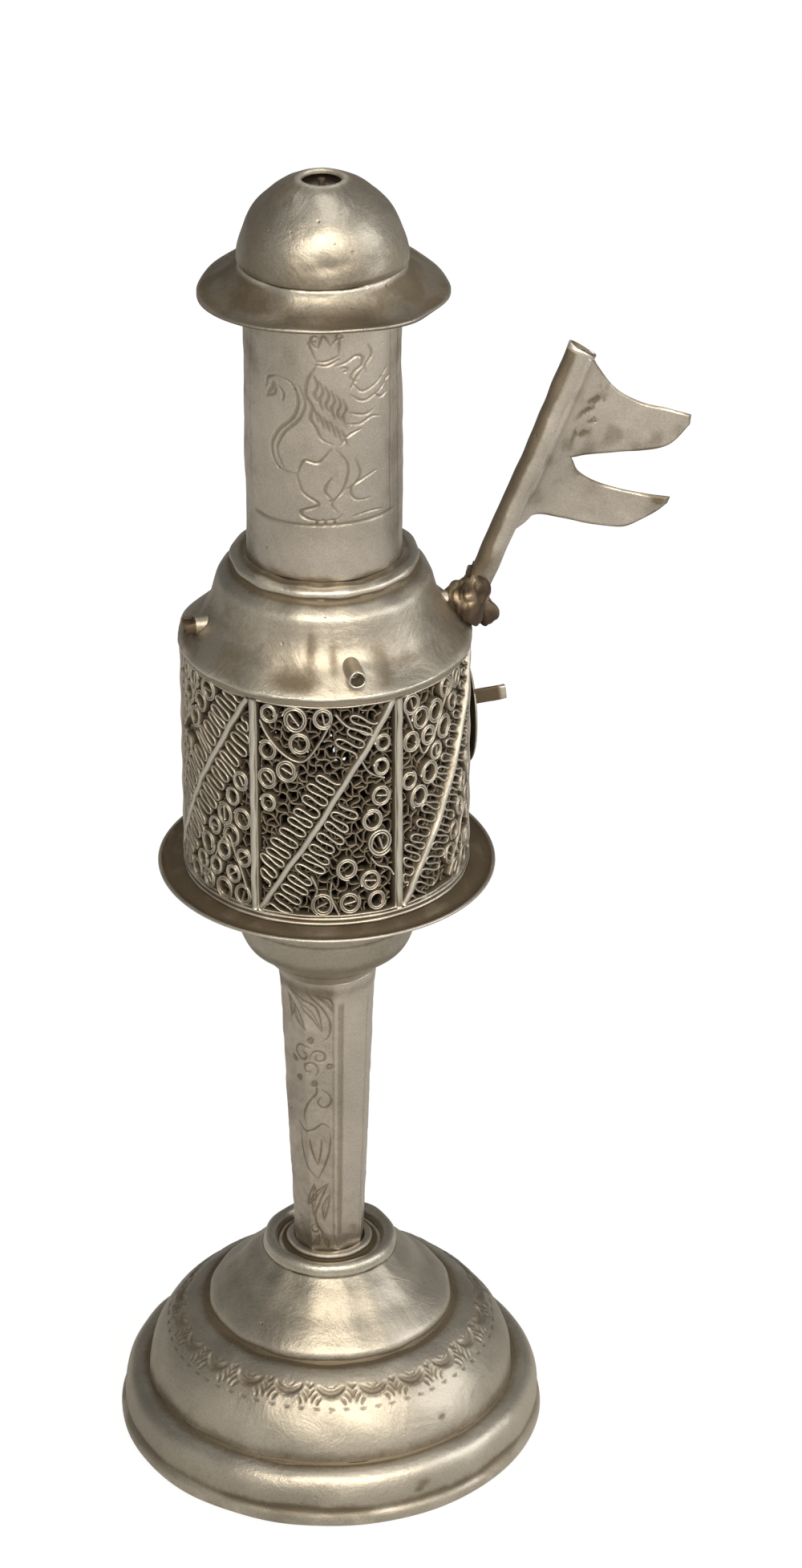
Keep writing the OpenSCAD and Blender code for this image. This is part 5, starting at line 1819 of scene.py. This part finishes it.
@dataclass
class Hat:
    """Hat over the tower: a brim that rises and falls, a dented dome, and the sunk seat in its hole."""

    top: float = 216.05
    brim_radius: float = 19.9
    drop: float = 4.6
    throat: float = 13.15
    dome_radius: float = 13.3
    height: float = 13.75
    hole: float = 3.6
    sheet: float = 0.5

    def build(self) -> None:
        """Makes the brim and the dome, and dresses the seat."""
        self.build_brim()
        self.build_dome()
        dress(Finish.TUBE, "finial_seat")
        dress(Finish.SOLDER, "finial_stub")

    def wave(self, points: Points) -> Points:
        """Bends the brim, most at its edge: up at the front and the back, down at the sides, with a
        small kink on the right."""
        radius, azimuth = about_axis(points)
        share = ramp(radius, self.throat + 0.5, self.brim_radius) ** 1.3
        lift = 1.05 * np.cos(2 * azimuth) - 0.15 * np.cos(3 * azimuth + 0.6)
        for centre, width, rise in ((78, 12, 0.5), (-58, 20, 0.25), (40, 14, -0.2)):
            lift = lift + rise * around(azimuth, centre, width)
        moved = points.copy()
        moved[:, 2] += share * lift
        pull = 1 - share * (0.035 * around(azimuth, 60, 9) + 0.02 * around(azimuth, -90, 30))
        moved[:, :2] *= pull[:, None]
        return moved

    def build_brim(self) -> None:
        """The brim flares from a throat under the dome."""
        z, t, r = self.top, self.throat, self.brim_radius
        low = z - self.drop
        line = smooth([(r, low), (r - 1.3, low + 0.05), (r - 2.9, low + 0.45), (t + 2.3, z - 3.5),
                       (t + 1.1, z - 2.5), (t + 0.3, z - 1.4), (t, z - 0.35)], 8)
        outer = resample(np.vstack([line, [[t - 0.3, z - 0.05], [self.dome_radius - 2.2, z - 0.05]]]), 0.22)
        bruise = Ripple(0.09, 8, 16, 111)
        cloud = Ripple(1.0, 8, 16, 112)

        def relief(azimuth: Array, along: Array, profile: Points) -> Shaped:
            """Bruises, a rubbed edge, brown cloud on the upper face, and a painted highlight on the front
            near the throat.
            """
            edge = ramp(profile[:, :1], r - 0.45, r - 0.08)
            # painted highlight: the front near the throat is painted less brown and brighter
            painted_highlight = around(azimuth, -3, 26) * hump(profile[:, 1:] - z, -1.3, 1.2)
            dirt = np.clip(0.42 + 0.12 * cloud(azimuth, along) - 0.5 * painted_highlight, 0, 1) * (1 - edge)
            return bruise(azimuth, along), {"tarnish": dirt, "wear": 0.5 * edge + 0.3 * painted_highlight}

        shell = sheet_shell(outer, self.sheet, azimuths(0.9, 1.4), 5, relief=relief, warp=self.wave)
        add_piece("hat_brim", shell, Finish.SHEET, "cap_brim")

    def build_dome(self) -> None:
        """A dome that is fuller than round, turned in at the hole in its top."""
        stop = math.degrees(math.acos((self.hole / self.dome_radius) ** (1.9 / 2)))
        side = quarter((self.dome_radius, self.top + 0.5), (0, self.top + self.height), 1.9, stop)
        end = side[-1]
        turned_in = np.array([end + (-0.28, 0.0), end + (-0.42, -0.3), end + (-0.42, -0.75)])
        outer = resample(np.vstack([[[self.dome_radius, self.top]], side, turned_in]), 0.24)
        bruise = Ripple(0.085, 9, 10, 121)
        hammer = Ripple(0.05, 3.2, 10, 122)
        cloud = Ripple(1.0, 8, 10, 123)

        def relief(azimuth: Array, along: Array, profile: Points) -> Shaped:
            """Bruises all over, hammer dents low on the front, brown at the seam and hole, and a painted
            highlight high on the front.
            """
            z = profile[:, 1:] - self.top
            front = around(azimuth, 0, 24) * hump(z, 3.6, 2.0)
            seam = ramp(z, 1.0, 0.1)
            hole = ramp(profile[:, :1], self.hole + 0.9, self.hole + 0.1)
            # painted highlight: a broad patch high on the front is painted less brown and brighter
            painted_highlight = around(azimuth, 2, 30) * hump(z, 8.5, 4.0)
            brown = np.clip(0.34 + 0.14 * cloud(azimuth, along) - 0.4 * painted_highlight, 0, 1)
            seam_dirt = 0.35 * seam * np.clip(0.4 + 0.5 * cloud(azimuth, 0 * along), 0, 1)
            dirt = brown + 0.45 * hole + seam_dirt
            tuck = -0.35 * seam * around(azimuth, 32, 16)
            fade = ramp(profile[:, :1], self.hole, self.hole + 3)
            return (bruise(azimuth, along) * fade + hammer(azimuth, along) * (0.25 + front) * fade
                    - 0.3 * front * around(azimuth, 4, 9) + tuck, {"tarnish": dirt, "wear": 0.35 * painted_highlight})

        shell = sheet_shell(outer, self.sheet, azimuths(0.8, 1.4), 6, relief=relief)
        add_piece("hat_dome", shell, Finish.SHEET, "cap_dome")


# ---- hidden hardware and studio ----


def dress_hardware() -> None:
    """Finishes the rod that clamps foot, stem and tray together, and its nuts and washers."""
    dress(Finish.DARK, "tie_rod", "foot_washer", "foot_nut", "chamber_washer", "chamber_nut")


@dataclass
class Studio:
    """Pale floor, soft lights and the camera, in metres and degrees."""

    camera_place: tuple[float, float, float] = (0.0, -0.763, 0.545)
    pitch: float = 28.94
    yaw: float = 0.913
    lens: float = 123.22
    sensor: float = 36
    floor_reach: float = 4
    floor_gap: float = 0.0002
    aim_height: float = 0.13

    def build(self) -> None:
        """Makes the camera, the floor, the world and the lights."""
        self.build_camera()
        self.build_floor()
        self.build_world()
        self.build_lights()
        view = bpy.context.scene.view_settings
        view.view_transform = "Standard"
        view.look = "None"

    def build_camera(self) -> None:
        """A long lens, looking down a little."""
        data = bpy.data.cameras.new("camera")
        data.lens, data.sensor_width, data.sensor_fit = self.lens, self.sensor, "AUTO"
        data.clip_start, data.clip_end = 0.01, 20
        camera = bpy.data.objects.new("camera", data)
        camera.location = self.camera_place
        camera.rotation_euler = (math.radians(90 - self.pitch), 0, math.radians(-self.yaw))
        bpy.context.scene.collection.objects.link(camera)
        bpy.context.scene.camera = camera

    def build_floor(self) -> None:
        """A wide pale floor: seen directly it is near white, and the silver sees it a little darker."""
        mesh = bpy.data.meshes.new("floor")
        far = self.floor_reach
        mesh.from_pydata([(-far, -far, 0), (far, -far, 0), (far, far, 0), (-far, far, 0)], [], [(0, 1, 2, 3)])
        made = bpy.data.materials.new("pale_floor")
        made.use_nodes = True
        s = Sketch(made.node_tree)
        seen = s.node("LightPath").outputs["Is Camera Ray"]
        diffuse = s.node("BsdfDiffuse", None, Color=(0.55, 0.55, 0.54, 1)).outputs[0]
        glow = s.node("Emission", None, Color=(1, 1, 1, 1), Strength=0.93).outputs[0]
        sheen = s.node("BsdfDiffuse", None, Color=(0.12, 0.12, 0.12, 1)).outputs[0]
        white = s.node("AddShader", None, i0=glow, i1=sheen).outputs[0]
        both = s.node("MixShader", None, i0=seen, i1=diffuse, i2=white).outputs[0]
        s.node("OutputMaterial", None, Surface=both)
        mesh.materials.append(made)
        floor = bpy.data.objects.new("floor", mesh)
        floor.location.z = -self.floor_gap
        bpy.context.scene.collection.objects.link(floor)

    def build_world(self) -> None:
        """A soft room: bright low down all round, darker above, white where it is seen directly."""
        world = bpy.data.worlds.new("room")
        bpy.context.scene.world = world
        world.use_nodes = True
        s = Sketch(world.node_tree)
        direction = s.node("TexCoord").outputs["Generated"]
        up = s.node("SeparateXYZ", None, Vector=direction).outputs
        tone = s.spread(up["Z"], -0.1, 0.8, 0.66, 0.34)
        side = s.spread(up["Y"], -0.9, 0.6, 1.0, 0.34)
        strength = s.math("MULTIPLY", tone, side)
        room = s.node("Background", None, Color=(1.0, 0.975, 0.94, 1), Strength=strength).outputs[0]
        white = s.node("Background", None, Color=(1, 1, 1, 1), Strength=1.0).outputs[0]
        seen = s.node("LightPath").outputs["Is Camera Ray"]
        both = s.node("MixShader", None, i0=seen, i1=room, i2=white).outputs[0]
        s.node("OutputWorld", None, Surface=both)

    def build_lights(self) -> None:
        """Four soft windows, three in front and one at the right, and a wide soft light above."""
        for name, place, size, power, colour in (
                ("window_left", (-0.35, -1.25, 0.95), (0.34, 0.6), 6, (1.0, 0.94, 0.83)),
                ("window_front", (0.05, -1.0, 1.15), (0.45, 0.35), 5, (1.0, 0.92, 0.76)),
                ("window_right", (0.62, -1.12, 0.9), (0.32, 0.55), 6, (1.0, 0.95, 0.85)),
                ("window_side", (1.5, -0.3, 0.7), (0.7, 1.0), 7, (0.97, 0.98, 1.0)),
                ("sky", (0.1, 0.1, 1.6), (1.0, 0.8), 5, (0.96, 0.98, 1.0))):
            data = bpy.data.lights.new(name, "AREA")
            data.shape, data.size, data.size_y, data.energy, data.color = "RECTANGLE", *size, power, colour
            light = bpy.data.objects.new(name, data)
            light.location = place
            aim = np.array([0, 0, self.aim_height]) - np.array(place)
            tilt = math.atan2(math.hypot(aim[0], aim[1]), -aim[2])
            light.rotation_euler = (tilt, 0, math.atan2(-aim[0], aim[1]))
            bpy.context.scene.collection.objects.link(light)


def main() -> None:
    """Builds the tower from the foot up, then the studio."""
    logging.basicConfig(level=logging.INFO, format="%(name)s: %(message)s")
    for part in (Foot(), Stem(), Tray(), Openwork(), Door(), Roof(), Pennant(), Tower(), Hat()):
        part.build()
    dress_hardware()
    Studio().build()


if __name__ == "__main__":
    main()
